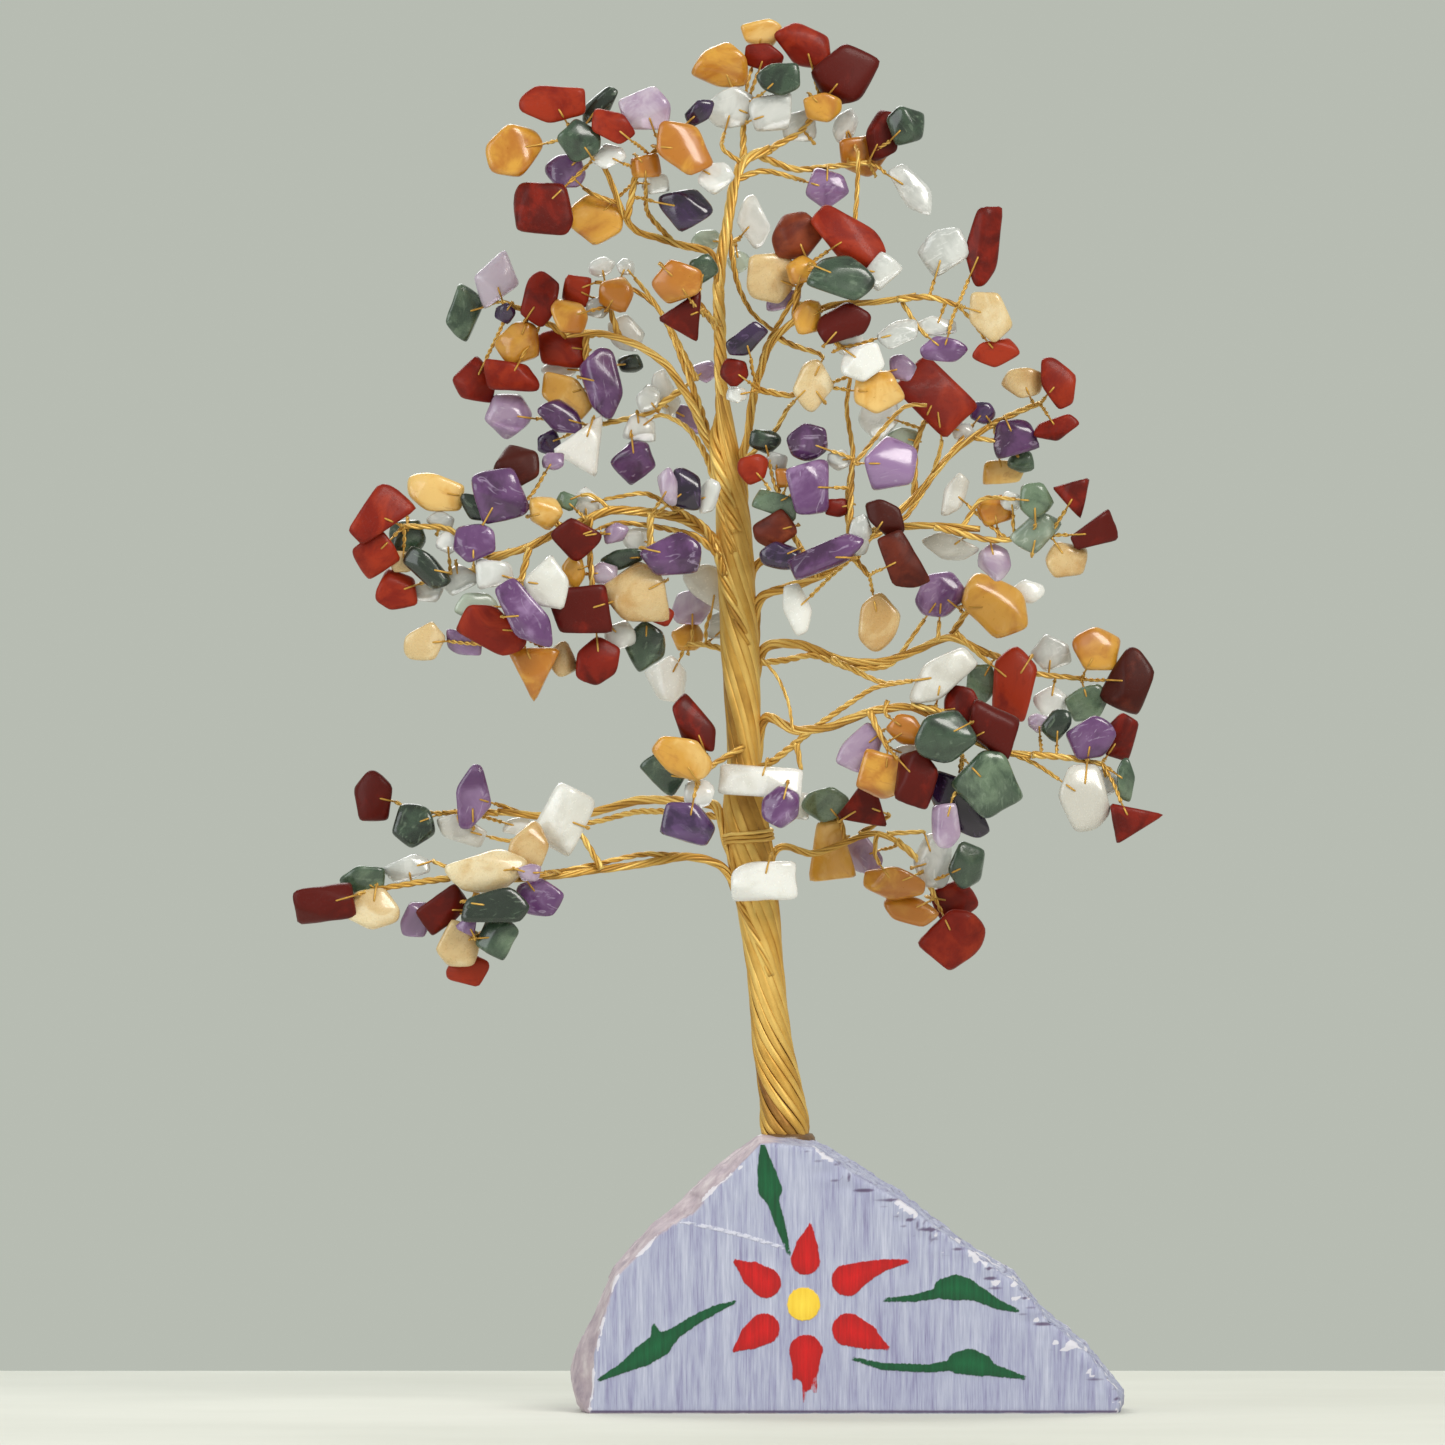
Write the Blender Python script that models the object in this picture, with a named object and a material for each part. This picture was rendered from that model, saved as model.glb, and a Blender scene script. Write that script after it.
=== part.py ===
"""Wire tree of life: tumbled stone chips on twisted gold wire, standing in a painted rock-shaped block.

Metres, +Z up. The origin is the centre of the block's underside. +X is the viewer's right and the
flower on the block faces -Y. The tables below are in millimetres, as (x, z) in the tree's own plane,
and a depth along Y is worked out from the layer that each limb lies in.
"""

import math
import random

import bmesh
import bpy
import numpy as np
from mathutils import Matrix, Vector

MM = 0.001
COLLECTION = "clay_tree_of_life"

# Gaps and clearances, mm
GAP = 0.35                    # between two pieces that meet
STONE_GAP = 0.6               # between two stones, so that none touches its neighbour
STONE_GROWTH = 1.07           # a whole chip against its listed size, which leaves out its rounded corners
JOINT_GAP = 0.5               # between a limb's root and the trunk

# The painted block, mm
BLOCK_FRONT = -22.0           # y of the painted face
BLOCK_BACK = 24.0
SOCKET_X = -13.6              # the trunk's socket, drilled straight down
SOCKET_RADIUS = 6.5
SOCKET_FLOOR = 36.0
DRILL_HEIGHT = 40.0           # from the socket's floor up, well past the block's top
RING_SIDES = 20               # of the socket and of the glue
GLUE_INNER, GLUE_OUTER = 5.25, 6.2
GLUE_BOTTOM, GLUE_TOP = 38.0, 55.5

# The wire, mm
TRUNK_LOBES = 8
LOBE_DEPTH = 0.09             # share of the radius between two strands
TRUNK_TWIST = 0.075           # radians for each mm of height
LIMB_SIDES = 6
LIMB_TAPER = 0.4              # share of its radius that a limb has lost at its tip
TWIG_RADIUS = 0.62
STEM_RADIUS = 0.5
STEM_TURN = 0.4               # radians, so that a stem's flats don't lie in the twig's
SHORTEST_STEM = 1.0
TIE_RADIUS = 0.55             # the wire bound round the trunk
TIE_TURNS = 3
TIE_POINTS = 12               # for each turn
PIVOT_SIZE = 3.0              # how large a limb's pivot is drawn
TIE_BOTTOM, TIE_TOP = 120.3, 127.0

# Where a layer of the crown may lie, mm along Y: the tree is flat, in two layers with the trunk between
FRONT_LAYER = (-40.0, -6.5)
BACK_LAYER = (6.5, 40.0)
LISTED_STEP = 1.2             # how far each stone starts in front of the one listed before it
SAME_DEPTH = 1e-6
WIRE_GAP = 0.5                # between a stone and a wire that isn't its own
ROUTE_STEP = 3.0              # between the beads along a limb
WIRE_STEP = 1.5               # between the beads along a twig or a stem
STONE_PUSH, WIRE_PUSH = 0.3, 0.5      # share of an overlap that one round of settling removes
TWIG_LEAD = 1.25              # a twig reaches its stones' middle depth before its tip
SETTLING_ROUNDS = 250
PLANNING_ROUNDS = 4
STEM_SHARES = (0.15, 0.3, 0.45, 0.6, 0.75, 0.9, 1.0)    # where along a twig a stem may leave it
CROSSING_COST = 12.0          # how much longer a stem may be, for each mm that it clears other wires by

# Stone kinds, and each kind's colour
RED, RUST, GOLD, CREAM = "red_jasper", "brown_jasper", "golden_aventurine", "cream_jade"
PLUM, LILAC, INK = "amethyst", "pale_amethyst", "dark_amethyst"
CLEAR, MILK, MOSS, MINT = "clear_quartz", "white_quartz", "green_aventurine", "pale_aventurine"
STONE_COLOURS = {
    RED: (0.36, 0.035, 0.015),
    RUST: (0.22, 0.045, 0.018),
    GOLD: (0.62, 0.27, 0.035),
    CREAM: (0.68, 0.50, 0.26),
    PLUM: (0.16, 0.065, 0.22),
    LILAC: (0.55, 0.47, 0.60),
    INK: (0.05, 0.025, 0.07),
    CLEAR: (0.80, 0.81, 0.78),
    MILK: (0.86, 0.86, 0.84),
    MOSS: (0.055, 0.12, 0.07),
    MINT: (0.33, 0.45, 0.36),
}

# The trunk's centre line: x, z and radius, mm. It leans left as it rises, swells where limbs leave it.
TRUNK = [
    (-13.6, 37.5, 4.6), (-13.6, 48, 4.6), (-13.7, 57, 4.7), (-13.9, 61, 5.5), (-14.7, 68, 4.8),
    (-17, 80, 4.3), (-18.3, 95, 4.0), (-19.9, 109, 4.6), (-21.5, 119, 5.1), (-22.8, 130, 4.9),
    (-22.8, 140, 3.6), (-23, 150, 3.8), (-23.6, 163, 4.2), (-24.4, 176, 4.1), (-25.1, 190, 3.9),
    (-26, 202, 3.0), (-26.8, 212, 2.0),
]

# Limbs: the body that each hangs from, its layer, root radius, how far it bends each way (degrees), and
# its centre line as x, z, y. The first point is the root, where the wires leave the trunk.
LIMBS = {
    "low_left_upper": ("root", BACK_LAYER, 1.2, 8, [
        (-28.6, 131, 2), (-38, 131.2, 9), (-46, 131.2, 13), (-55, 128.8, 15), (-67, 127.6, 16),
        (-76, 128.6, 16)]),
    "low_left_lower": ("root", FRONT_LAYER, 1.05, 8, [
        (-27.3, 117.6, -1), (-35, 119.4, -2.5), (-43, 118.2, -7), (-53.5, 116.8, -11), (-62, 115.2, -14),
        (-75, 114.8, -15), (-86, 115, -15)]),
    "left_middle": ("root", FRONT_LAYER, 1.3, 6, [
        (-29.8, 189, -1), (-36, 192, -8), (-43, 193.5, -14), (-52, 194.5, -17), (-61, 190, -18),
        (-69, 186, -18), (-78, 184, -18)]),
    "left_upper": ("root", BACK_LAYER, 1.2, 6, [
        (-31.3, 209, 1.5), (-34, 217, 7), (-39, 225, 12), (-46, 230, 15), (-54, 232.5, 17),
        (-61, 231.5, 17)]),
    "leader": ("root", BACK_LAYER, 1.7, 4, [
        (-27.2, 213, 0), (-28, 222, 0), (-28.3, 240, 0), (-27.4, 250, 0.5), (-26.2, 258, 3), (-25, 265, 7),
        (-23, 270, 11), (-17, 272, 14)]),
    "top_left": ("leader", FRONT_LAYER, 1.0, 6, [
        (-29.8, 250, -1.2), (-38, 251.5, -6), (-46, 253.5, -12), (-50, 260, -16), (-53, 268, -17)]),
    "right_inner": ("root", FRONT_LAYER, 1.05, 6, [
        (-22.2, 208.5, -2), (-20.5, 220, -7), (-17.5, 230, -12), (-12, 235, -16), (-4, 238.5, -18),
        (6, 238.5, -18), (14, 240, -18)]),
    "right_column": ("root", FRONT_LAYER, 1.15, 5, [
        (-19.4, 176, -1.5), (-11, 178, -7), (-3, 181, -12), (0, 187, -15), (6, 190.5, -17),
        (18, 190.5, -18), (28, 190, -18)]),
    "right_long": ("root", BACK_LAYER, 1.05, 6, [
        (-20, 183, 1.5), (-11, 184, 6), (-3, 185.5, 10), (6, 189, 13), (14, 196.5, 15), (21, 205.5, 16),
        (30, 212, 17)]),
    "right_lower": ("root", BACK_LAYER, 1.15, 6, [
        (-18.5, 165, 1.5), (-10, 165, 6), (-2, 161.5, 10), (7, 161, 13), (15, 163.5, 15), (22, 167, 16),
        (30, 163, 17)]),
    "low_right": ("root", FRONT_LAYER, 1.15, 6, [
        (-18.4, 150.5, -1), (-12.5, 146, -6), (-5, 147, -11), (4, 151, -15), (13, 152, -18),
        (22, 147, -20), (31, 142.5, -20), (39, 141.5, -20)]),
    "droop": ("root", BACK_LAYER, 1.0, 8, [
        (-15.4, 122, 1.5), (-9, 119.5, 7), (-1, 122, 12), (6, 124.5, 14), (10, 122.5, 15)]),
}

# Sprays: the limb (or the trunk) that each is twisted to, the depth it starts from, its twig as x, z, and
# its stones, listed from the back to the front as kind, x, z, length, width and tilt (degrees from +X
# towards +Z). A seventh value names a stone that isn't oval: "tri" points along its tilt, "drop" is wide
# at that end, and "brick" has square ends.
SPRAYS = {
    "low_left_tip": ("low_left_upper", 16, [(-76, 128.6), (-88, 128.5)], [
        (CLEAR, -71.5, 125.5, 7, 4, 0), (RED, -103, 132, 11, 8, 90), (MOSS, -94.5, 126, 9, 8.5, 60),
        (MILK, -84, 125, 11, 5.5, -20), (PLUM, -81.5, 132, 13.5, 6, 80)]),
    "low_left_white": ("low_left_lower", -12, [(-53.5, 116.8), (-57, 123), (-60, 127)], [
        (MILK, -61.6, 127.6, 13, 9.5, 62, "brick")]),
    "low_left_end": ("low_left_lower", -16, [(-86, 115), (-93, 114), (-102, 112.5)], [
        (CLEAR, -95, 117, 10.5, 5, 12), (MOSS, -104.5, 114.3, 10, 6.5, 15),
        (CREAM, -102.6, 108.2, 11, 8.5, -10), (RED, -113, 109.5, 12, 7.5, 8, "brick")]),
    "low_left_under": ("low_left_lower", -17, [(-70, 115), (-72, 117)], [
        (CREAM, -69.5, 120.8, 12, 8, 55), (CREAM, -78, 116.3, 17, 8.5, 8),
        (PLUM, -66.8, 110.8, 10, 8, -15), (LILAC, -69, 116.2, 5, 4, 0)]),
    "low_left_drop": ("low_left_lower", -19, [(-79, 114.8), (-82, 108), (-81.5, 102)], [
        (LILAC, -93.4, 106, 9, 6.5, 62), (RED, -87.4, 108.2, 10, 6.5, 35, "brick"),
        (RED, -82.3, 95.3, 9, 6, 10), (CREAM, -84, 100.6, 10, 8.5, 80),
        (PLUM, -82, 105, 6, 4.5, 60, "tri"), (MOSS, -76, 102.4, 9, 7, 40),
        (MOSS, -76, 109, 14.5, 6.5, 0)]),
    "left_middle_end": ("left_middle", -18, [(-78, 184), (-87, 190.5), (-96, 190.5)], [
        (CLEAR, -88, 191.5, 6, 4, 0), (MOSS, -95, 188, 8, 7, 30), (CREAM, -96, 183, 6, 4.5, 0),
        (RED, -102, 184.5, 9, 7.5, 20), (RED, -101.5, 193, 13, 8.5, 45, "drop")]),
    "left_middle_crown": ("left_middle", -18, [(-61, 190), (-70, 195.5), (-80, 196.5)], [
        (GOLD, -89, 198, 13, 8, -15), (LILAC, -64, 204.5, 5, 4, 0), (RUST, -71.5, 203, 10, 8, 20),
        (MOSS, -80, 194.6, 8.5, 5, -30), (GOLD, -65.5, 193.5, 7.5, 6.5, 0),
        (PLUM, -75.5, 197, 14, 9, -30)]),
    "left_middle_low": ("left_middle", -17, [(-73, 185.2), (-80, 181), (-86, 180.5)], [
        (CLEAR, -91, 176.5, 7, 4.5, 0), (RED, -97.5, 176.5, 8.5, 8, 0), (CLEAR, -84.3, 179, 8, 6, 20),
        (CLEAR, -86.5, 187, 5, 4, 0), (MOSS, -91, 181.5, 11, 6, -40), (PLUM, -81, 187, 10, 8, 10)]),
    "left_middle_drop": ("left_middle", -20, [(-69, 186), (-71, 178), (-71, 167)], [
        (CREAM, -62, 162, 7.5, 5, 90), (PLUM, -83, 165.5, 9, 5, -20), (CREAM, -91.5, 165.5, 9, 7.5, 40),
        (GOLD, -68, 160.5, 12, 10.5, -90, "tri"), (MINT, -80.5, 173.5, 9, 5.5, 10),
        (CLEAR, -76.5, 180.5, 8, 6, 0), (RED, -77, 168.5, 15, 8, -30), (MILK, -65, 178, 10, 9.5, 0),
        (PLUM, -69.5, 171.5, 17, 7.5, -55)]),
    "left_middle_inner": ("left_middle", -19, [(-56, 192.6), (-56, 184), (-55, 172)], [
        (CLEAR, -49.5, 167, 7, 6, 0), (RED, -54, 161.5, 10.5, 9, 60), (CLEAR, -57, 195.5, 6.5, 5.5, 0),
        (MOSS, -61, 196, 4.5, 3.5, 0), (GOLD, -59.5, 181, 8, 4.5, 90), (LILAC, -53, 180.5, 6, 5, 0),
        (LILAC, -50.5, 189, 6, 4, 30), (RED, -57.5, 172.5, 13, 9.5, 20),
        (RED, -59, 188.3, 10.5, 7, -10)]),
    "left_middle_near": ("left_middle", -17, [(-43, 193.5), (-43, 187), (-43.5, 177)], [
        (RED, -40.5, 171.5, 5, 4.5, 0), (MOSS, -44, 164.8, 9.5, 8.5, 40), (CLEAR, -45.5, 187.5, 7, 6, 0),
        (CLEAR, -30.5, 197, 8, 4, 80), (INK, -35, 198.5, 9.5, 5.5, -70), (LILAC, -39, 199, 8, 4, -80),
        (MOSS, -49, 183.6, 9, 4.5, 10), (CREAM, -45.5, 176, 13, 12, 30),
        (PLUM, -38.5, 184.5, 13, 8.5, 20)]),
    "left_upper_end": ("left_upper", 18, [(-61, 231.5), (-68, 236), (-75, 239)], [
        (MOSS, -83.5, 236.5, 10.5, 7, 65), (RED, -81, 221.5, 9, 8, 30), (LILAC, -76.5, 243.5, 9.5, 8, 20),
        (INK, -74.5, 236.5, 4.5, 4, 0), (GOLD, -71.5, 230, 10, 8.5, 40), (RED, -73, 223, 12, 6, -15),
        (RED, -67, 239.5, 12, 7.5, 80)]),
    "left_upper_crown": ("left_upper", 17, [(-50, 231.5), (-52, 238)], [
        (CLEAR, -53.5, 246.5, 6, 4, 20), (CLEAR, -48.5, 246.5, 4, 3.5, 0), (RED, -59, 241.5, 6.5, 6, 0),
        (CLEAR, -54.5, 237.5, 5, 4.5, 0), (GOLD, -50.5, 240.5, 7.5, 7, 0),
        (GOLD, -60.5, 235.8, 9, 7, -35)]),
    "left_upper_heart": ("left_upper", 19, [(-57, 232.3), (-57, 224), (-56, 218)], [
        (CLEAR, -62.5, 224.5, 8, 4, 10), (MOSS, -47.5, 225.5, 5.5, 4, 0),
        (CLEAR, -48.5, 232, 9, 6.5, -60), (GOLD, -61.5, 219, 13, 7, -40), (RED, -62, 229.3, 11, 8.5, 15),
        (PLUM, -53.5, 221.5, 16, 8.5, -80)]),
    "left_upper_low": ("left_upper", 18, [(-36, 220.2), (-44, 214.5), (-56, 212)], [
        (LILAC, -31.5, 224, 5.5, 4.5, 0), (LILAC, -34.5, 213.5, 7.5, 4.5, -45),
        (CLEAR, -39.8, 219, 10, 5, -70), (INK, -65, 208.5, 5.5, 5, 0), (LILAC, -74, 214.5, 10, 9, -20),
        (PLUM, -62.5, 214, 10, 6, -25), (CLEAR, -45.5, 211.5, 7, 5, 0), (CLEAR, -43.5, 218, 6, 5, 30),
        (PLUM, -46.5, 204.5, 9.5, 8, 30), (MILK, -57.5, 207.5, 13, 10, 60, "tri")]),
    "leader_left": ("leader", -14, [(-28.2, 234), (-33, 237)], [
        (RED, -35.5, 235.5, 10.5, 9, 60, "tri"), (MOSS, -31.5, 246, 6, 5, 0),
        (GOLD, -37, 243, 11, 8.5, 20)]),
    "leader_right": ("leader", 10, [(-27.4, 250), (-24, 252.5)], [
        (MINT, -31, 252, 7, 4.5, 0), (MINT, -24, 247.5, 5, 4.5, 0), (CLEAR, -21, 256, 11, 6, -75)]),
    "top_left_crown": ("leader", 17, [(-23, 270), (-23, 280)], [
        (GOLD, -19, 297, 8.5, 6, 10), (RED, -18.5, 292, 8.5, 5.5, -10), (GOLD, -27.5, 290, 12, 9, -20),
        (CLEAR, -25.5, 281, 11, 8, 30), (CLEAR, -17, 279.5, 9.5, 8, -20),
        (MOSS, -15.5, 287, 9.5, 7, 10)]),
    "top_middle_crown": ("leader", 18, [(-17, 272), (-10, 276), (-6, 282)], [
        (RED, -9.5, 294.5, 13.5, 8, -35), (CLEAR, -10.8, 277, 8, 6, 20),
        (RED, -1, 288, 14, 11.5, 55), (GOLD, -6, 281, 8.5, 6, 10)]),
    "top_right_crown": ("leader", 18, [(-20.5, 270.8), (-12, 267.3), (4, 269)], [
        (CLEAR, -0.8, 277, 8, 5, 70), (GOLD, 2.8, 271.2, 11, 8, 20), (RED, 7, 275, 11, 6.5, 80),
        (MOSS, 12, 277, 9, 7, -60), (CLEAR, 13.5, 263, 13, 6, -50), (PLUM, -5, 263.5, 9.5, 8, 20)]),
    "top_left_outer": ("top_left", -17, [(-53, 268), (-59, 274)], [
        (MOSS, -54, 281, 9.5, 4.5, 50), (PLUM, -61, 266.8, 9, 7.5, 0),
        (GOLD, -72.5, 271.5, 12.5, 10.5, 30), (MOSS, -58, 273.2, 8.5, 8, 30),
        (RED, -63.5, 281.5, 14.5, 8, 0), (RED, -66, 259, 14, 11, -30)]),
    "top_left_inner": ("top_left", -18, [(-48, 256.5), (-46, 267), (-41, 272)], [
        (GOLD, -54.5, 257, 12, 9.5, -20), (INK, -35.5, 259, 11.5, 7.5, -10), (CLEAR, -42, 264, 6, 4.5, 0),
        (INK, -32.5, 279.5, 7.5, 4.5, 40), (CLEAR, -52, 270, 7.5, 5, 20), (CLEAR, -29, 265.5, 7.5, 6, 30),
        (GOLD, -44, 268, 6.5, 5, 0), (LILAC, -43.8, 280, 11, 9, 20), (RED, -51, 276.5, 10, 6, -35),
        (GOLD, -36, 271.5, 14, 9, -40)]),
    "inner_crown": ("right_inner", -18, [(-12, 235), (-11.5, 241), (-9, 247)], [
        (LILAC, -14.5, 239, 8, 4, 20), (CREAM, -17, 244, 11, 9.5, 30), (RUST, -11.5, 253, 11, 9.5, 20),
        (GOLD, -10.5, 245.5, 7, 6, 0), (RED, -0.5, 252.5, 16, 10, -40, "drop"),
        (CLEAR, 6.5, 245, 8.5, 6, 30), (MOSS, -2, 244, 14, 8.5, -10)]),
    "inner_heart": ("right_inner", -20, [(-8, 236.8), (-5, 232), (-2, 229)], [
        (CLEAR, -0.5, 229.8, 7, 4.5, 0), (CLEAR, 10.5, 232, 9, 5, 20), (GOLD, -9, 235.3, 8, 6, 70),
        (MILK, 2.5, 225.8, 10, 7, 30), (RED, -1.5, 234, 12, 7.5, 25)]),
    "inner_low": ("right_inner", -15, [(-20.5, 220), (-13, 218.5), (-7, 220)], [
        (CLEAR, -24.5, 218.8, 4.5, 3.5, 0), (RED, -25, 223.8, 6, 5, 0), (INK, -22.5, 230.5, 10, 5, 35),
        (LILAC, 11, 224.5, 6.5, 5, -40), (CREAM, -8.5, 221, 11, 7.5, 75),
        (GOLD, 5.5, 219.5, 10.5, 8.5, 20)]),
    "right_upper": ("right_inner", -19, [(10, 239.3), (17, 240), (23, 238)], [
        (CLEAR, 20, 250, 10.5, 8.5, 30), (RED, 28.5, 251, 17, 6.5, 85), (CLEAR, 18.5, 233.5, 9, 4, 0),
        (PLUM, 20, 228.5, 10.5, 5.5, 0), (RED, 31.2, 228, 10, 5.5, 10),
        (CREAM, 29.5, 236, 11.5, 8, -60)]),
    "column_high": ("right_column", -16, [(0, 187), (0, 196), (0.5, 205)], [
        (CLEAR, -2.5, 204.8, 5, 4, 0), (RED, -2.8, 194.5, 5.5, 4, 0), (PLUM, -9, 208.5, 9, 7.5, 10),
        (PLUM, -8.5, 199, 12, 8, 80), (PLUM, 8.5, 204, 12, 10, 10)]),
    "column_left": ("right_column", -12, [(-7, 179.5), (-12, 188), (-15, 196)], [
        (CLEAR, -16, 204.5, 5, 4, 0), (MOSS, -18.5, 209, 7, 4.5, 0), (GOLD, -13, 201, 6.5, 4, 0),
        (RED, -21, 203, 7.5, 6, 20), (MOSS, -16, 195.5, 10, 5, -10), (RUST, -16.2, 189.5, 9, 6.5, 10),
        (INK, -15, 184, 9, 6, -10)]),
    "column_low": ("right_column", -18, [(0, 184.5), (4, 180)], [
        (MILK, -11.5, 172.8, 11, 6, -70), (CREAM, 6, 170, 12.5, 9, 90), (CLEAR, 2, 188.5, 9, 5, 80),
        (PLUM, -5.5, 184, 18, 6, 25), (RUST, 7.5, 192.5, 10, 6.5, -50), (RUST, 11, 183.5, 13, 7, -65)]),
    "right_middle": ("right_column", -18, [(18, 190.5), (30, 187.4), (43, 188.5)], [
        (MILK, 22.5, 197.5, 10, 4.5, 70), (MILK, 21.5, 186, 12, 5, -10), (LILAC, 31, 183, 8, 7, -60),
        (GOLD, 31, 194, 7.5, 6.5, 0), (CLEAR, 34.5, 196, 5, 4, 0), (MINT, 40, 189.5, 10, 7, 45),
        (CREAM, 46.5, 183.3, 9, 7, 10), (RED, 52.3, 189, 9.5, 6, 25, "drop"), (MOSS, 39.5, 196, 8, 7, 90),
        (RED, 48, 197.3, 8.5, 7.5, -75, "tri")]),
    "right_long_near": ("right_long", 16, [(14, 196.5), (14, 207), (16, 213)], [
        (MINT, 11.5, 209.5, 6.5, 4.5, 0), (CLEAR, 24.5, 211, 5, 4, 0), (CLEAR, 6.5, 214.5, 9.5, 7.5, 20),
        (RED, 18.5, 218.5, 15, 10, -45, "brick")]),
    "right_long_end": ("right_long", 17, [(30, 212), (36, 215), (41, 217)], [
        (GOLD, 33, 202, 9.5, 5, 10), (MOSS, 37, 204.5, 5.5, 5, 0), (INK, 28.8, 215, 5.5, 5, 0),
        (PLUM, 35.5, 209.5, 9.5, 7.5, 20), (RED, 44.5, 211.8, 10, 4.5, 15),
        (CREAM, 37.5, 221.7, 9.5, 6.5, 0), (RED, 45, 221.5, 11.5, 6.5, -70)]),
    "right_lower_high": ("right_lower", 17, [(22, 167), (26, 173)], [
        (MILK, 38.5, 176.3, 7.5, 5, 0), (PLUM, 19.8, 175.6, 11, 9, 30),
        (GOLD, 31.5, 173, 16, 10.5, -45)]),
    "right_lower_end": ("right_lower", 18, [(30, 163), (40, 158.5), (50, 157.5)], [
        (MOSS, 28.3, 156.5, 9.5, 6.5, 90), (CLEAR, 43.5, 163, 8.5, 7, 20),
        (CLEAR, 43.5, 152.5, 7.5, 6, 0), (MOSS, 51.5, 152.3, 9, 7, 20), (RED, 35.5, 156.5, 16, 9.5, 80),
        (GOLD, 53.3, 163.6, 10.5, 9, -20), (RUST, 61, 157, 14, 8.5, 85)]),
    "low_right_near": ("low_right", -20, [(4, 151), (6, 146.5), (8, 143)], [
        (LILAC, 2.2, 142.6, 11.5, 8, 50), (CLEAR, 11.8, 141.6, 5, 4, 0), (GOLD, 12, 146.8, 8, 6.5, -40),
        (GOLD, 7.6, 137, 12, 9.5, -15), (RED, 14, 136.5, 13.5, 8, 85)]),
    "low_right_heart": ("low_right", -22, [(13, 152), (20, 151), (24, 141)], [
        (MILK, 19.5, 158.3, 16.5, 7, 38), (RED, 24, 151.6, 9.5, 8, 80),
        (INK, 22.8, 131, 17, 8.5, -55), (RED, 30.3, 147.3, 11, 9, -20),
        (LILAC, 20.4, 126.5, 9.5, 6.5, 90), (MOSS, 29.6, 135, 14, 10.5, 85),
        (MOSS, 20, 145.6, 12.5, 11, 20)]),
    "low_right_end": ("low_right", -20, [(39, 141.5), (46, 141), (54, 139.5)], [
        (LILAC, 40.5, 148.3, 5, 4, 0), (RED, 58, 145.5, 10, 6.5, 75), (MOSS, 44.5, 148, 7, 5.5, 60),
        (CLEAR, 55, 135.5, 6, 5, 90), (PLUM, 51.6, 145, 10, 9, 30), (MOSS, 59, 136, 9, 3.8, 90),
        (MILK, 50, 132.5, 15.5, 11, -80), (RED, 60, 127.4, 11.5, 8, 10, "tri")]),
    "droop_left": ("droop", 13, [(-1, 122), (-2, 127)], [
        (CLEAR, -10.5, 130, 6, 4.5, 80), (GOLD, -4.2, 120.5, 12, 9, -85, "drop"),
        (MOSS, -5.2, 130.6, 10.5, 7, 0), (RED, 3.2, 130.2, 11.5, 10, 80, "tri")]),
    "droop_right": ("droop", 17, [(10, 122.5), (15, 118.5), (18.5, 110)], [
        (LILAC, 3.2, 119.2, 9, 6, -50), (RED, 22.8, 109.2, 9, 8, 20), (CLEAR, 18.2, 118, 11.5, 8, 80),
        (RED, 22.6, 101.2, 13, 11, 40), (GOLD, 13, 107.5, 12.5, 6.5, -15),
        (GOLD, 9.5, 113.2, 13, 6.5, -8), (MOSS, 25.4, 117.2, 10, 6.5, 85)]),
    "trunk_stub": ("trunk", 13, [(-24, 163), (-31, 165), (-35, 165)], [
        (MILK, -39, 157.5, 10, 7.5, 85), (CLEAR, -26.5, 169, 9, 6.5, 10), (GOLD, -35, 166.5, 7, 5.5, 20),
        (LILAC, -34, 173, 9, 7.5, 30), (MILK, -29, 177.5, 15, 8, -25)]),
    "trunk_left": ("trunk", -12, [(-23, 143), (-30, 139), (-33, 136)], [
        (CLEAR, -32.6, 133, 7, 6, 10), (MOSS, -40.3, 137.2, 10, 5.5, -30),
        (RED, -33.5, 147.8, 14.5, 6.5, -55), (GOLD, -36.2, 140.8, 13, 8.5, -30),
        (INK, -34.6, 126.8, 13, 8, -28)]),
}

# Stones tied straight to the trunk: name, kind, x, z, length, width, tilt, shape, and their middle's y
TRUNK_STONES = [
    ("upper_trunk_stone", MILK, -19.3, 135.6, 18, 6.8, -4, "brick", -9.6),
    ("side_trunk_stone", PLUM, -14.8, 130.2, 9.3, 8.4, 50, "oval", -14.6),
    ("lower_trunk_stone", MILK, -18.6, 114.2, 14.2, 8.6, 2, "brick", -10.2),
]

# The block's outline, x and z in mm, on its painted face, at its widest and at its back, point for point
FACE_OUTLINE = [
    (-56.5, 0), (-54.6, 7), (-55.5, 12), (-54, 18), (-50.5, 29.5), (-41.5, 38.5), (-33, 43), (-25.5, 52),
    (-19.4, 58.5), (-8, 57), (0.3, 52), (11.5, 45), (23, 36), (34.5, 29), (41, 20.8), (50.4, 13.4),
    (58, 4), (57.6, 0),
]
WIDE_OUTLINE = [
    (-58, 0), (-60, 6.5), (-58.8, 12.7), (-55.5, 20), (-50.7, 31), (-42.5, 40), (-34, 47.5), (-26.5, 54),
    (-19.4, 59.5), (-7.7, 58), (1, 53), (12, 46), (23.5, 37), (35, 30), (41.5, 21.7), (51, 14),
    (59, 4), (58.3, 0),
]
BACK_OUTLINE = [
    (-52, 0), (-54, 8), (-53, 14), (-49, 21), (-44, 30), (-37, 38), (-30, 44), (-24, 50),
    (-18, 54), (-8, 53), (0, 48), (10, 41), (21, 33), (31, 26), (38, 19), (46, 12), (53, 5), (52, 0),
]
WIDE_FRONT, WIDE_BACK = -11.0, 9.0      # the block keeps its full outline between these, mm along Y


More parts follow.
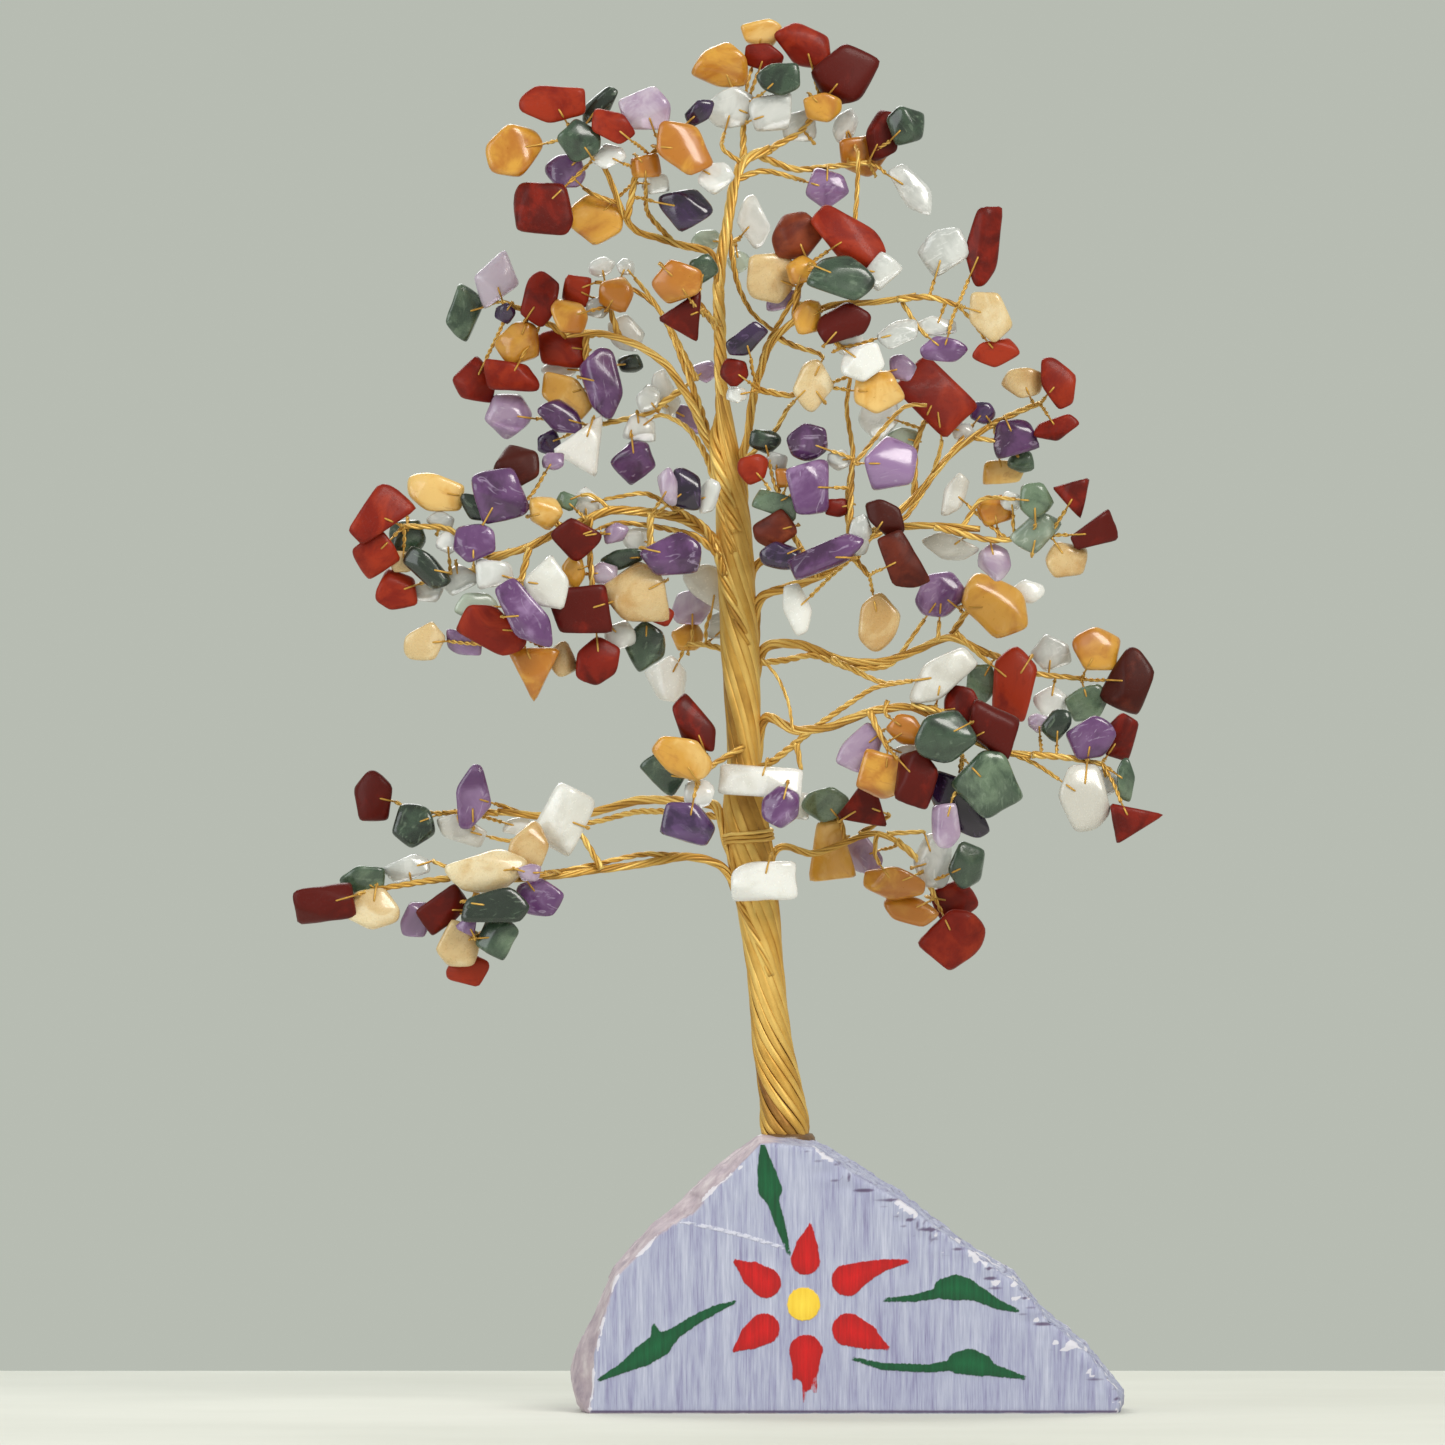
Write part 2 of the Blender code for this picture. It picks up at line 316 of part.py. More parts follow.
def stone_thickness(width):
    """A chip is a little flatter than it is wide, and never thinner than its drilled hole needs."""
    return 1.3 + 0.46 * width


def own_values(stone):
    """A stone's row of the table, with its whole size, and with its shape filled in."""
    kind, x, z, length, width, tilt, *form = stone
    return (kind, x, z, length * STONE_GROWTH, width * STONE_GROWTH, tilt, form[0] if form else "oval")


def limb_route(limb):
    """A limb's or the trunk's centre line as (x, z, y) in mm, with closely spaced points."""
    points = [(x, z, 0.0) for x, z, _ in TRUNK] if limb == "trunk" else LIMBS[limb][4]
    route = []
    for start, end in zip(points, points[1:]):
        steps = max(1, math.ceil(math.dist(start, end) / ROUTE_STEP))
        for step in range(steps):
            share = step / steps
            route.append(tuple(a + (b - a) * share for a, b in zip(start, end)))
    return route + [tuple(points[-1])]


def reach_towards(half_length, half_width, tilt, angle):
    """How far an ellipse reaches from its middle in a direction."""
    turned = angle - tilt
    across = np.sqrt((half_width * np.cos(turned)) ** 2 + (half_length * np.sin(turned)) ** 2)
    return half_length * half_width / across


def needed_depths(apart, reach, half_depths, gap):
    """How far apart along Y two round things have to lie, where one is seen in front of the other."""
    share = np.clip(apart / reach, 0, 1)
    return np.where(share < 1, half_depths * np.sqrt(1 - share**2) + gap, 0)


def wire_beads():
    """Every limb as beads along its middle: rows of x, z, y, radius and the owner's number, -1."""
    beads = []
    for limb in LIMBS:
        beads += [(*point, LIMBS[limb][2], -1) for point in limb_route(limb)]
    return beads


def settle_depths(beads, settled=None):
    """Works out each stone's depth, as {spray: [y of each stone in mm]}.

    A stone starts from its spray's depth, in the listed order, and is then pushed along Y until it lies
    in no other stone and in no bead of wire.
    """
    owners, rows, low, high, y = [], [], [], [], []
    for number, (spray, (limb, depth, _, stones)) in enumerate(SPRAYS.items()):
        layer = FRONT_LAYER if depth < 0 else BACK_LAYER
        for place, stone in enumerate(stones):
            values = own_values(stone)
            half_depth = stone_thickness(values[4]) / 2
            owners.append(number)
            rows.append((*values[1:6], half_depth))
            low.append(layer[0] + half_depth)
            high.append(layer[1] - half_depth)
            middle = depth + LISTED_STEP * ((len(stones) - 1) / 2 - place)
            y.append(settled[spray][place] if settled else middle)
    x, z, length, width, tilt, half_depth = np.array(rows, float).T[:, :, None]
    low, high, y, owners = (np.array(values)[:, None] for values in (low, high, y, owners))
    tilt = np.radians(tilt)
    reach = reach_towards(length / 2, width / 2, tilt, np.arctan2(z.T - z, x.T - x))
    apart = np.hypot(x - x.T, z - z.T)
    needed = needed_depths(apart, reach + reach.T, half_depth + half_depth.T, STONE_GAP)
    np.fill_diagonal(needed, 0)
    bead_x, bead_z, bead_y, bead_radius, bead_owner = np.array(beads, float).T[:, None, :]
    reach = reach_towards(length / 2, width / 2, tilt, np.arctan2(bead_z - z, bead_x - x))
    apart = np.hypot(bead_x - x, bead_z - z)
    from_bead = needed_depths(apart, reach + bead_radius, half_depth + bead_radius, WIRE_GAP)
    from_bead = np.where(bead_owner == owners, 0, from_bead)
    order = np.sign(np.arange(len(y))[None, :] - np.arange(len(y))[:, None])
    for _ in range(SETTLING_ROUNDS):
        between = y - y.T
        side = np.where(np.abs(between) > SAME_DEPTH, np.sign(between), order)
        pushes = np.clip(needed - np.abs(between), 0, None) * side
        beside = y - bead_y
        away = np.clip(from_bead - np.abs(beside), 0, None) * np.where(beside < 0, -1, 1)
        strongest = np.take_along_axis(away, np.abs(away).argmax(axis=1)[:, None], axis=1)
        y = np.clip(y + STONE_PUSH * pushes.sum(axis=1, keepdims=True) + WIRE_PUSH * strongest, low, high)
    depths = iter(y[:, 0].tolist())
    return {spray: [next(depths) for _ in SPRAYS[spray][3]] for spray in SPRAYS}


def plain_material(name, colour, roughness, metallic=0.0):
    material = bpy.data.materials.get(name) or bpy.data.materials.new(name)
    material.use_nodes = True
    shader = material.node_tree.nodes["Principled BSDF"]
    shader.inputs["Base Color"].default_value = (*colour, 1)
    shader.inputs["Roughness"].default_value = roughness
    shader.inputs["Metallic"].default_value = metallic
    return material


def gold_wire():
    return plain_material("gold_wire", (0.78, 0.52, 0.16), 0.25, 1.0)


def mesh_object(name, mesh, collection, material):
    made = bpy.data.objects.new(name, mesh)
    collection.objects.link(made)
    mesh.materials.clear()
    mesh.materials.append(material)
    return made


def wire_mesh(points, radii, sides=4, turn=0.0, twist=0.0, lobes=0):
    """A closed tube along points (metres), as a mesh, from a curve with a round or a lobed bevel."""
    curve = bpy.data.curves.new("wire", "CURVE")
    curve.dimensions = "3D"
    curve.use_fill_caps = True
    curve.twist_mode = "MINIMUM"
    spline = curve.splines.new("POLY")
    spline.points.add(len(points) - 1)
    profile = None
    for point, place, radius in zip(spline.points, points, radii):
        point.co = (*place, 1)
        point.radius = radius
        point.tilt = turn + twist * place[2]
    if lobes:
        outline = bpy.data.curves.new("lobed_outline", "CURVE")
        ring = outline.splines.new("POLY")
        ring.points.add(2 * lobes - 1)
        ring.use_cyclic_u = True
        for index, point in enumerate(ring.points):
            angle = math.pi * index / lobes
            reach = 1 if index % 2 else 1 - LOBE_DEPTH
            point.co = (reach * math.cos(angle), reach * math.sin(angle), 0, 1)
        profile = bpy.data.objects.new("lobed_outline", outline)
        bpy.context.scene.collection.objects.link(profile)
        curve.bevel_mode = "OBJECT"
        curve.bevel_object = profile
    else:
        curve.bevel_depth = 1.0
        curve.bevel_resolution = (sides - 4) // 2
    tube = bpy.data.objects.new("wire", curve)
    bpy.context.scene.collection.objects.link(tube)
    graph = bpy.context.evaluated_depsgraph_get()
    mesh = bpy.data.meshes.new_from_object(tube.evaluated_get(graph))
    bpy.data.objects.remove(tube)
    if profile:
        bpy.data.objects.remove(profile)
    shape = bmesh.new()
    shape.from_mesh(mesh)
    bmesh.ops.remove_doubles(shape, verts=shape.verts, dist=1e-6)
    bmesh.ops.recalc_face_normals(shape, faces=shape.faces)
    for face in shape.faces:
        face.smooth = len(face.verts) <= 4      # all but the flat ends
    shape.to_mesh(mesh)
    shape.free()
    return mesh


def facets_of(seed, form):
    """The planes that a chip is ground to, as (normal, distance), in halves of its own sizes."""
    draw = random.Random(seed)
    planes = []
    if form == "tri":
        corners = [(math.radians(turn), 0.62) for turn in (60, 180, 300)]
        planes += [((math.cos(turn), 0, math.sin(turn)), distance) for turn, distance in corners]
    elif form == "brick":
        planes += [((side, 0, 0), 1.0) for side in (1, -1)]
        planes += [((0, 0, side), 0.97) for side in (1, -1)]
    elif form == "drop":
        planes += [((-0.3, 0, side * 0.95), 0.78) for side in (1, -1)]
        planes += [((side, 0, 0), 1.0) for side in (1, -1)]
    else:
        planes += [((side, 0, 0), 1.0) for side in (1, -1)]
        start = draw.uniform(0, math.tau)
        sides = draw.choice((4, 5, 5, 6))
        for step in range(sides):
            turn = start + step * math.tau / sides + draw.uniform(-0.3, 0.3)
            planes.append(((math.cos(turn), 0, math.sin(turn)), draw.uniform(0.82, 1.0)))
    planes += [((draw.uniform(-0.25, 0.25), side, draw.uniform(-0.25, 0.25)), 1.0) for side in (1, -1)]
    for _ in range(5):
        turn, lift = draw.uniform(0, math.tau), draw.choice((-1, 1)) * draw.uniform(0.4, 0.9)
        flat = math.sqrt(1 - lift**2)
        planes.append(((flat * math.cos(turn), lift, flat * math.sin(turn)), draw.uniform(0.86, 1.05)))
    return planes


def ground_radius(direction, planes, sharpness=11.0):
    """How far a chip's surface lies from its middle: a rounded form of the nearest of its planes."""
    total = 0.0
    for normal, distance in planes:
        facing = sum(a * b for a, b in zip(normal, direction)) / distance
        if facing > 0:
            total += facing**sharpness
    return total ** (-1 / sharpness)


def stone_mesh(x, y, z, length, width, tilt, form, seed):
    """A chip as a coarse closed mesh: an icosphere whose corners are pulled in to its ground planes."""
    shape = bmesh.new()
    bmesh.ops.create_icosphere(shape, subdivisions=1, radius=1)
    planes = facets_of(seed, form)
    half = Vector((length / 2, stone_thickness(width) / 2, width / 2))
    for vertex in shape.verts:
        direction = vertex.co.normalized()
        vertex.co = direction * ground_radius(direction, planes)
        vertex.co = Vector(a * b for a, b in zip(vertex.co, half))
    turn = Matrix.Rotation(-math.radians(tilt), 4, "Y")
    bmesh.ops.transform(shape, matrix=Matrix.Translation((x, y, z)) @ turn, verts=shape.verts)
    bmesh.ops.scale(shape, vec=(MM, MM, MM), verts=shape.verts)
    bmesh.ops.recalc_face_normals(shape, faces=shape.faces)
    mesh = bpy.data.meshes.new("stone")
    shape.to_mesh(mesh)
    shape.free()
    return mesh


def joined(name, meshes, collection, cutters, material):
    """One closed body made of all the meshes, by EXACT unions."""
    body = mesh_object(name, meshes[0], collection, material)
    if len(meshes) == 1:
        return body
    group = bpy.data.collections.new(name + "_joined")
    cutters.children.link(group)
    for index, mesh in enumerate(meshes[1:]):
        helper = mesh_object(f"{name}_piece_{index}", mesh, group, material)
        helper.hide_render = True
        helper.display_type = "WIRE"
    union = body.modifiers.new("joined", "BOOLEAN")
    union.operation = "UNION"
    union.solver = "EXACT"
    union.operand_type = "COLLECTION"
    union.collection = group
    return body


def in_metres(x, z, y):
    return (x * MM, y * MM, z * MM)


def build_block(collection, cutters):
    """The rock-shaped block, lofted through its outlines, with the trunk's socket drilled from its top."""
    sections = [
        (BLOCK_FRONT, FACE_OUTLINE), (WIDE_FRONT, WIDE_OUTLINE), (WIDE_BACK, WIDE_OUTLINE),
        (BLOCK_BACK, BACK_OUTLINE)]
    shape = bmesh.new()
    rings = [[shape.verts.new(in_metres(x, z, y)) for x, z in outline] for y, outline in sections]
    for near, far in zip(rings, rings[1:]):
        for index in range(len(near)):
            after = (index + 1) % len(near)
            shape.faces.new((near[index], near[after], far[after], far[index]))
    shape.faces.new(rings[0])
    shape.faces.new(rings[-1])
    bmesh.ops.triangulate(shape, faces=shape.faces)
    bmesh.ops.recalc_face_normals(shape, faces=shape.faces)
    mesh = bpy.data.meshes.new("block")
    shape.to_mesh(mesh)
    shape.free()
    paint = plain_material("painted_clay", (0.42, 0.42, 0.55), 0.7)
    block = mesh_object("painted_block", mesh, collection, paint)
    bpy.ops.mesh.primitive_cylinder_add(
        vertices=RING_SIDES, radius=SOCKET_RADIUS * MM, depth=DRILL_HEIGHT * MM,
        location=in_metres(SOCKET_X, SOCKET_FLOOR + DRILL_HEIGHT / 2, 0))
    drill = bpy.context.object
    drill.name = "socket_drill"
    for holder in list(drill.users_collection):
        holder.objects.unlink(drill)
    cutters.objects.link(drill)
    drill.hide_render = True
    drill.display_type = "WIRE"
    cut = block.modifiers.new("socket", "BOOLEAN")
    cut.operation = "DIFFERENCE"
    cut.solver = "EXACT"
    cut.object = drill


def build_glue(collection):
    """The ring of glue that holds the trunk in its socket."""
    curve = bpy.data.curves.new("socket_glue", "CURVE")
    curve.dimensions = "2D"
    curve.fill_mode = "BOTH"
    curve.extrude = (GLUE_TOP - GLUE_BOTTOM) / 2 * MM
    for radius in (GLUE_OUTER, GLUE_INNER):
        ring = curve.splines.new("POLY")
        ring.points.add(RING_SIDES - 1)
        ring.use_cyclic_u = True
        for index, point in enumerate(ring.points):
            angle = math.tau * index / RING_SIDES
            point.co = (radius * MM * math.cos(angle), radius * MM * math.sin(angle), 0, 1)
    flat = bpy.data.objects.new("socket_glue_outline", curve)
    bpy.context.scene.collection.objects.link(flat)
    graph = bpy.context.evaluated_depsgraph_get()
    mesh = bpy.data.meshes.new_from_object(flat.evaluated_get(graph))
    bpy.data.objects.remove(flat)
    shape = bmesh.new()
    shape.from_mesh(mesh)
    bmesh.ops.remove_doubles(shape, verts=shape.verts, dist=1e-6)
    bmesh.ops.recalc_face_normals(shape, faces=shape.faces)
    shape.to_mesh(mesh)
    shape.free()
    resin = plain_material("clear_glue", (0.75, 0.70, 0.55), 0.3)
    glue = mesh_object("socket_glue", mesh, collection, resin)
    glue.location = in_metres(SOCKET_X, (GLUE_BOTTOM + GLUE_TOP) / 2, 0)


def build_trunk(collection):
    """The twisted bundle of wires, lobed where its strands show."""
    points = [in_metres(x, z, 0) for x, z, _ in limb_route("trunk")]
    heights = [z for _, z, _ in TRUNK]
    radii = [float(np.interp(p[2] / MM, heights, [r for _, _, r in TRUNK])) * MM for p in points]
    mesh = wire_mesh(points, radii, twist=TRUNK_TWIST / MM, lobes=TRUNK_LOBES)
    mesh_object("trunk_bundle", mesh, collection, gold_wire())


def build_tie(collection):
    """The wire wound round the trunk where the lowest limbs leave it."""
    heights = [z for _, z, _ in TRUNK]
    points = []
    for step in range(TIE_TURNS * TIE_POINTS + 1):
        share = step / (TIE_TURNS * TIE_POINTS)
        z = TIE_BOTTOM + (TIE_TOP - TIE_BOTTOM) * share
        angle = math.tau * TIE_TURNS * share
        reach = float(np.interp(z, heights, [r for _, _, r in TRUNK])) + TIE_RADIUS + GAP
        x = float(np.interp(z, heights, [x for x, _, _ in TRUNK]))
        points.append(in_metres(x + reach * math.cos(angle), z, reach * math.sin(angle)))
    mesh = wire_mesh(points, [TIE_RADIUS * MM] * len(points))
    mesh_object("binding_wire", mesh, collection, gold_wire())


def build_limb(name, collection):
    """One limb: the wires that leave the trunk together, thinner towards the tip."""
    _, _, radius, _, points = LIMBS[name]
    radii = [radius * (1 - LIMB_TAPER * index / (len(points) - 1)) * MM for index in range(len(points))]
    mesh = wire_mesh([in_metres(*point) for point in points], radii, sides=LIMB_SIDES)
    return mesh_object(name + "_limb", mesh, collection, gold_wire())


def nearest_on(route, x, z):
    return min(route, key=lambda point: math.hypot(point[0] - x, point[1] - z))


def limb_radius_at(limb, z):
    if limb == "trunk":
        return float(np.interp(z, [z for _, z, _ in TRUNK], [r for _, _, r in TRUNK]))
    return LIMBS[limb][2]


def twig_route(limb, twig, depths):
    """A twig's points as (x, z, y), from beside its limb to the middle depth of its stones."""
    middle = sum(depths) / len(depths)
    start = nearest_on(limb_route(limb), *twig[0])
    side = 1 if middle > start[2] else -1
    first = start[2] + side * (limb_radius_at(limb, start[1]) + TWIG_RADIUS + GAP)
    route = []
    for index, (x, z) in enumerate(twig):
        share = min(1, index / max(1, len(twig) - 1) * TWIG_LEAD)
        route.append((x, z, first + (middle - first) * share))
    return route


def steps_between(start, end):
    """Points along a straight wire."""
    count = max(2, math.ceil(math.dist(start, end) / WIRE_STEP) + 1)
    return np.linspace(start, end, count)


def crossing_depth(start, end, beads):
    """How deep a stem from start to end would lie in the beads."""
    along = steps_between(start, end)
    apart = np.linalg.norm(along[:, None, :] - beads[None, :, :3], axis=2)
    return float(np.clip(beads[None, :, 3] + STEM_RADIUS + GAP - apart, 0, None).max())


def stem_start(route, place, beads):
    """The point of a twig that a stone's own stem leaves from: near, and clear of other wires."""
    best, found = None, None
    for start, end in zip(route, route[1:]):
        for share in STEM_SHARES:
            point = tuple(a + (b - a) * share for a, b in zip(start, end))
            cost = math.dist(point, place) + CROSSING_COST * crossing_depth(point, place, beads)
            if best is None or cost < best:
                best, found = cost, point
    return found


def plan_wires(settled, beads):
    """The twig and the stems of each spray: {spray: (route, [stem start for each stone])}."""
    routes = {spray: twig_route(SPRAYS[spray][0], SPRAYS[spray][2], settled[spray]) for spray in SPRAYS}
    crowd = list(beads)
    for number, spray in enumerate(SPRAYS):
        for start, end in zip(routes[spray], routes[spray][1:]):
            crowd += [(*point, TWIG_RADIUS, number) for point in steps_between(start, end)]
    for number, spray in enumerate(SPRAYS):
        for stone, y in zip(SPRAYS[spray][3], settled[spray]):
            crowd.append((stone[1], stone[2], y, stone_thickness(own_values(stone)[4]) / 2, number))
    crowd = np.array(crowd)
    wires = {}
    for number, spray in enumerate(SPRAYS):
        others = crowd[crowd[:, 4] != number]
        places = [(stone[1], stone[2], y) for stone, y in zip(SPRAYS[spray][3], settled[spray])]
        wires[spray] = (routes[spray], [stem_start(routes[spray], place, others) for place in places])
    return wires


def plan_tree():
    """Settles the stones and leads the wires to them, in turns, so that each makes room for the other."""
    limbs = wire_beads()
    settled = settle_depths(limbs)
    for _ in range(PLANNING_ROUNDS):
        wires = plan_wires(settled, limbs)
        beads = list(limbs)
        for number, spray in enumerate(SPRAYS):
            route, starts = wires[spray]
            for start, end in zip(route, route[1:]):
                beads += [(*point, TWIG_RADIUS, number) for point in steps_between(start, end)]
            for stone, y, start in zip(SPRAYS[spray][3], settled[spray], starts):
                stem = steps_between(start, (stone[1], stone[2], y))
                beads += [(*point, STEM_RADIUS, number) for point in stem]
        settled = settle_depths(beads, settled)
    return settled, plan_wires(settled, limbs)


def spray_meshes(name, depths, wires):
    """The pieces of one spray: its twig, and its stones on their stems."""
    stones = SPRAYS[name][3]
    route, starts = wires
    pieces = [wire_mesh([in_metres(*point) for point in route], [TWIG_RADIUS * MM] * len(route))]
    for index, (stone, y, start) in enumerate(zip(stones, depths, starts)):
        _, x, z, length, width, tilt, form = own_values(stone)
        if math.dist(start, (x, z, y)) > SHORTEST_STEM:
            ends = [in_metres(*start), in_metres(x, z, y)]
            pieces.append(wire_mesh(ends, [STEM_RADIUS * MM] * 2, turn=STEM_TURN))
        pieces.append(stone_mesh(x, y, z, length, width, tilt, form, f"{name} {index}"))
    return pieces


def build_spray(name, pieces, collection, cutters):
    main_kind = SPRAYS[name][3][-1][0]
    material = plain_material(main_kind, STONE_COLOURS[main_kind], 0.2)
    return joined(name + "_spray", pieces, collection, cutters, material)


def build_trunk_stone(row, collection):
    name, kind, x, z, length, width, tilt, form, y = row
    mesh = stone_mesh(x, y, z, length, width, tilt, form, name)
    mesh_object(name, mesh, collection, plain_material(kind, STONE_COLOURS[kind], 0.2))


def build_pivots(collection):
    """An empty at each limb's root, which the limb bends about: {limb: empty}."""
    pivots = {}
    for name, (body, _, _, _, points) in LIMBS.items():
        pivot = bpy.data.objects.new(name + "_bend", None)
        pivot.empty_display_size = PIVOT_SIZE * MM
        collection.objects.link(pivot)
        pivots[name] = pivot
        pivot.location = in_metres(*points[0])
        if body != "root":
            pivot.parent = pivots[body]
            pivot.location = Vector(in_metres(*points[0])) - Vector(in_metres(*LIMBS[body][4][0]))
    return pivots


def hang(made, limb, pivots):
    """Parents a finished object to its limb's pivot, where it stands."""
    made.parent = pivots[limb]
    made.matrix_parent_inverse = Matrix.Translation(-Vector(in_metres(*LIMBS[limb][4][0])))


def build():
    for old in list(bpy.data.objects):
        bpy.data.objects.remove(old)
    collection = bpy.data.collections.new(COLLECTION)
    cutters = bpy.data.collections.new(COLLECTION + "_cutters")
    for holder in (collection, cutters):
        bpy.context.scene.collection.children.link(holder)
    build_glue(collection)
    build_trunk(collection)
    build_tie(collection)
    pivots = build_pivots(collection)
    for name in LIMBS:
        hang(build_limb(name, collection), name, pivots)
    for row in TRUNK_STONES:
        build_trunk_stone(row, collection)
    # A wire's mesh needs the scene evaluated, so all of them are made before the first Boolean is.
    settled, wires = plan_tree()
    pieces = {name: spray_meshes(name, settled[name], wires[name]) for name in SPRAYS}
    build_block(collection, cutters)
    for name, (limb, _, _, _) in SPRAYS.items():
        spray = build_spray(name, pieces[name], collection, cutters)
        if limb != "trunk":
            hang(spray, limb, pivots)


build()
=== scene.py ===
"""The looks of the wire tree of life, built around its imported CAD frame.

Sizes in the tables are millimetres, as (x, z) in the tree's own plane, as in the CAD source; meshes
are made in metres. Each stone is ground from the same planes as its coarse CAD solid, and lies at
the same depth.
"""

import math
import random

import bmesh
import bpy
import numpy as np
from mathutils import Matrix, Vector, noise


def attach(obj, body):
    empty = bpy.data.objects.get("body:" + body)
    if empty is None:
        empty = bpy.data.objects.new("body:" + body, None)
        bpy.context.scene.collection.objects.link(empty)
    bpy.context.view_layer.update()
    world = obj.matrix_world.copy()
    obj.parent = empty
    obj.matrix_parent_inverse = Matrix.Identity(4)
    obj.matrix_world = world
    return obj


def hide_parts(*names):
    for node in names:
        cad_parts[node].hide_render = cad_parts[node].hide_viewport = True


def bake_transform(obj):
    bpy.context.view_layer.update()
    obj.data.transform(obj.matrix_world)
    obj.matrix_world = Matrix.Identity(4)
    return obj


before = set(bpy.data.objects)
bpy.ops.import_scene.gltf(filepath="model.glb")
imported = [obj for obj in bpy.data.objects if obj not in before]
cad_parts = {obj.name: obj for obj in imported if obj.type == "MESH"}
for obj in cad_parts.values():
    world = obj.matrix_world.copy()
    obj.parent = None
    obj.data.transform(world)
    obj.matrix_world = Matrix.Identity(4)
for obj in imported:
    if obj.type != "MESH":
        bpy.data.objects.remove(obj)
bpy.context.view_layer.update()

MM = 0.001
GAP = 0.35                    # kept clear between a twig and its limb, and between a stem and other wires

# Where the stones lie: the same planning values as the CAD source, mm
STONE_GAP = 0.6               # between two stones, along Y
WIRE_GAP = 0.5                # between a stone and a wire, along Y
STONE_GROWTH = 1.07           # stones are this many times as large as the tables say
TWIG_RADIUS = 0.62
STEM_RADIUS = 0.5
FRONT_LAYER = (-40.0, -6.5)   # the depths that stones in front of the trunk can take
BACK_LAYER = (6.5, 40.0)
LISTED_STEP = 1.2             # a spray's stones start this far apart, from its back to its front
ROUTE_STEP = 3.0              # the most between a limb's beads
WIRE_STEP = 1.5               # the same for a twig or a stem
STONE_PUSH, WIRE_PUSH = 0.3, 0.5       # the share of an overlap that one round takes away
TWIG_LEAD = 1.25              # how much sooner than its end a twig reaches the depth of its stones
SAME_DEPTH = 1e-6             # stones that lie closer than this are pushed apart in the listed order
SETTLING_ROUNDS = 250
PLANNING_ROUNDS = 4
STEM_SHARES = (0.15, 0.3, 0.45, 0.6, 0.75, 0.9, 1.0)      # where on each run of a twig a stem can leave
CROSSING_COST = 12.0          # how much longer a stem may be, to lie one mm less in other wires

# The fine surfaces, mm unless said
SHARPNESS = 12.0              # how crisp the edges between a chip's ground planes are
LUMP_WAVES = 5                # waves that are added up to make a surface uneven
LUMP_SHARE = 0.035            # how far the big lumps swell a chip, as a share of its size
FINE_SHARE, FINE_SIZE = 0.008, 1.3     # the same for the fine ones, and their size
SIDE_REACH = 11.0             # how far a side wire looks for a chip to hold
BAND_FLATNESS = 0.55          # how much flatter the trunk's strands are than round wire
STONE_LEVELS = (3, 4)         # icosphere levels of small and of big chips
BIG_STONE = 9.0               # a chip this long is a big one
HOLE_FROM_MIDDLE = 0.42       # the drilled hole's place, as a share of the way to the edge
LOOP_RADIUS = 0.21            # of the single wire that passes round a chip
TWIST_SHORT = 0.9             # a stem's twist ends this far short of its chip
STEM_ROPE = 0.46              # a stem's radius, both its wires together
STEM_BOW = 0.12               # how far a stem bows sideways, as a share of its run
SHORT_STEM = 0.8              # a stem this little longer than the way from its chip's edge is straight
SHORTEST_TWIST = 0.6          # and has no twist at all when its run is shorter than this
FULLNESS = 1.06               # strands touch and bite into each other a little
TRUNK_STRANDS = 14
LIMB_STRANDS = 5
LIMB_WOBBLE = 0.22            # how far a limb's wires wander from its centre line
TIE_STRANDS = 3
TIE_RADIUS = 0.42
TIE_BOTTOM = 120.6
TIE_RISE = 2.6                # how far each turn of the binding wire climbs
TIE_SPACING, TIE_TURNS, TIE_STEPS = 1.05, 1.02, 32
GLUE_X = -13.7                # the middle of the trunk's foot
GLUE_STEPS = 40
GLUE_PROFILE = [(3.0, 54.0), (5.6, 55.0), (5.9, 57.4), (5.7, 58.8), (5.2, 59.6), (3.0, 60.0)]  # radius, z
PAINT_THICKNESS = 0.16
THICK_PAINTS = ("red_paint", "green_paint", "yellow_paint")     # the ones that stand out
CHIP_STEPS = 2.2              # levels that the slope's chipped relief falls into, for each unit of noise
HEWN_STEPS, HEWN_DEPTH = 2.5, 0.7      # the same for the left side, and how deep it is
OFF_FRONT = 6.0               # added to the distance from a stroke, away from the front face
FOOT_HEIGHT = 1.5             # below this the block keeps its plain outline
TRUNK_CORE, LIMB_CORE = 0.88, 0.5      # a dark core's share of the radius, behind the strands; its dark colour is painted shade between them
TRUNK_GRIPS = (24, 18, 12, 6, 2)       # how far below its root a limb's wires already run on the trunk
GRIP_OUT, GRIP_SINK = 1.04, 0.012      # how far out they lie, as a share of the trunk's radius
TRUNK_FOOT = 66                        # they never start lower than this
LIMB_FOOT, LIMB_TAPER = 1.04, 0.40     # a limb's radius at its foot, and what it loses, as shares
TWIG_ROPE = (0.85, 0.6)                # a twig's radius at its root and at its tip
BLOCK_VOXEL = 0.0007          # metres

# The block's outlines along Y, mm
BLOCK_FRONT, BLOCK_BACK = -22.0, 24.0

# The view and the stage, metres
SENSOR = 36.0
VIEW_DISTANCE = 6.0
VIEW_WIDTH = 0.3114           # what the frame takes in at the trunk
VIEW_X, VIEW_Z = -0.0275, 0.1482
VIEW_ELEVATION = 0.6
FLOOR_WIDTH, FLOOR_DEPTH, FLOOR_BACK = 3.0, 2.4, 0.25
ROOM_COLOUR = (0.50, 0.53, 0.47, 1)
ROOM_STRENGTH = 0.95
LIGHT_AIM = (VIEW_X, 0, 0.15)

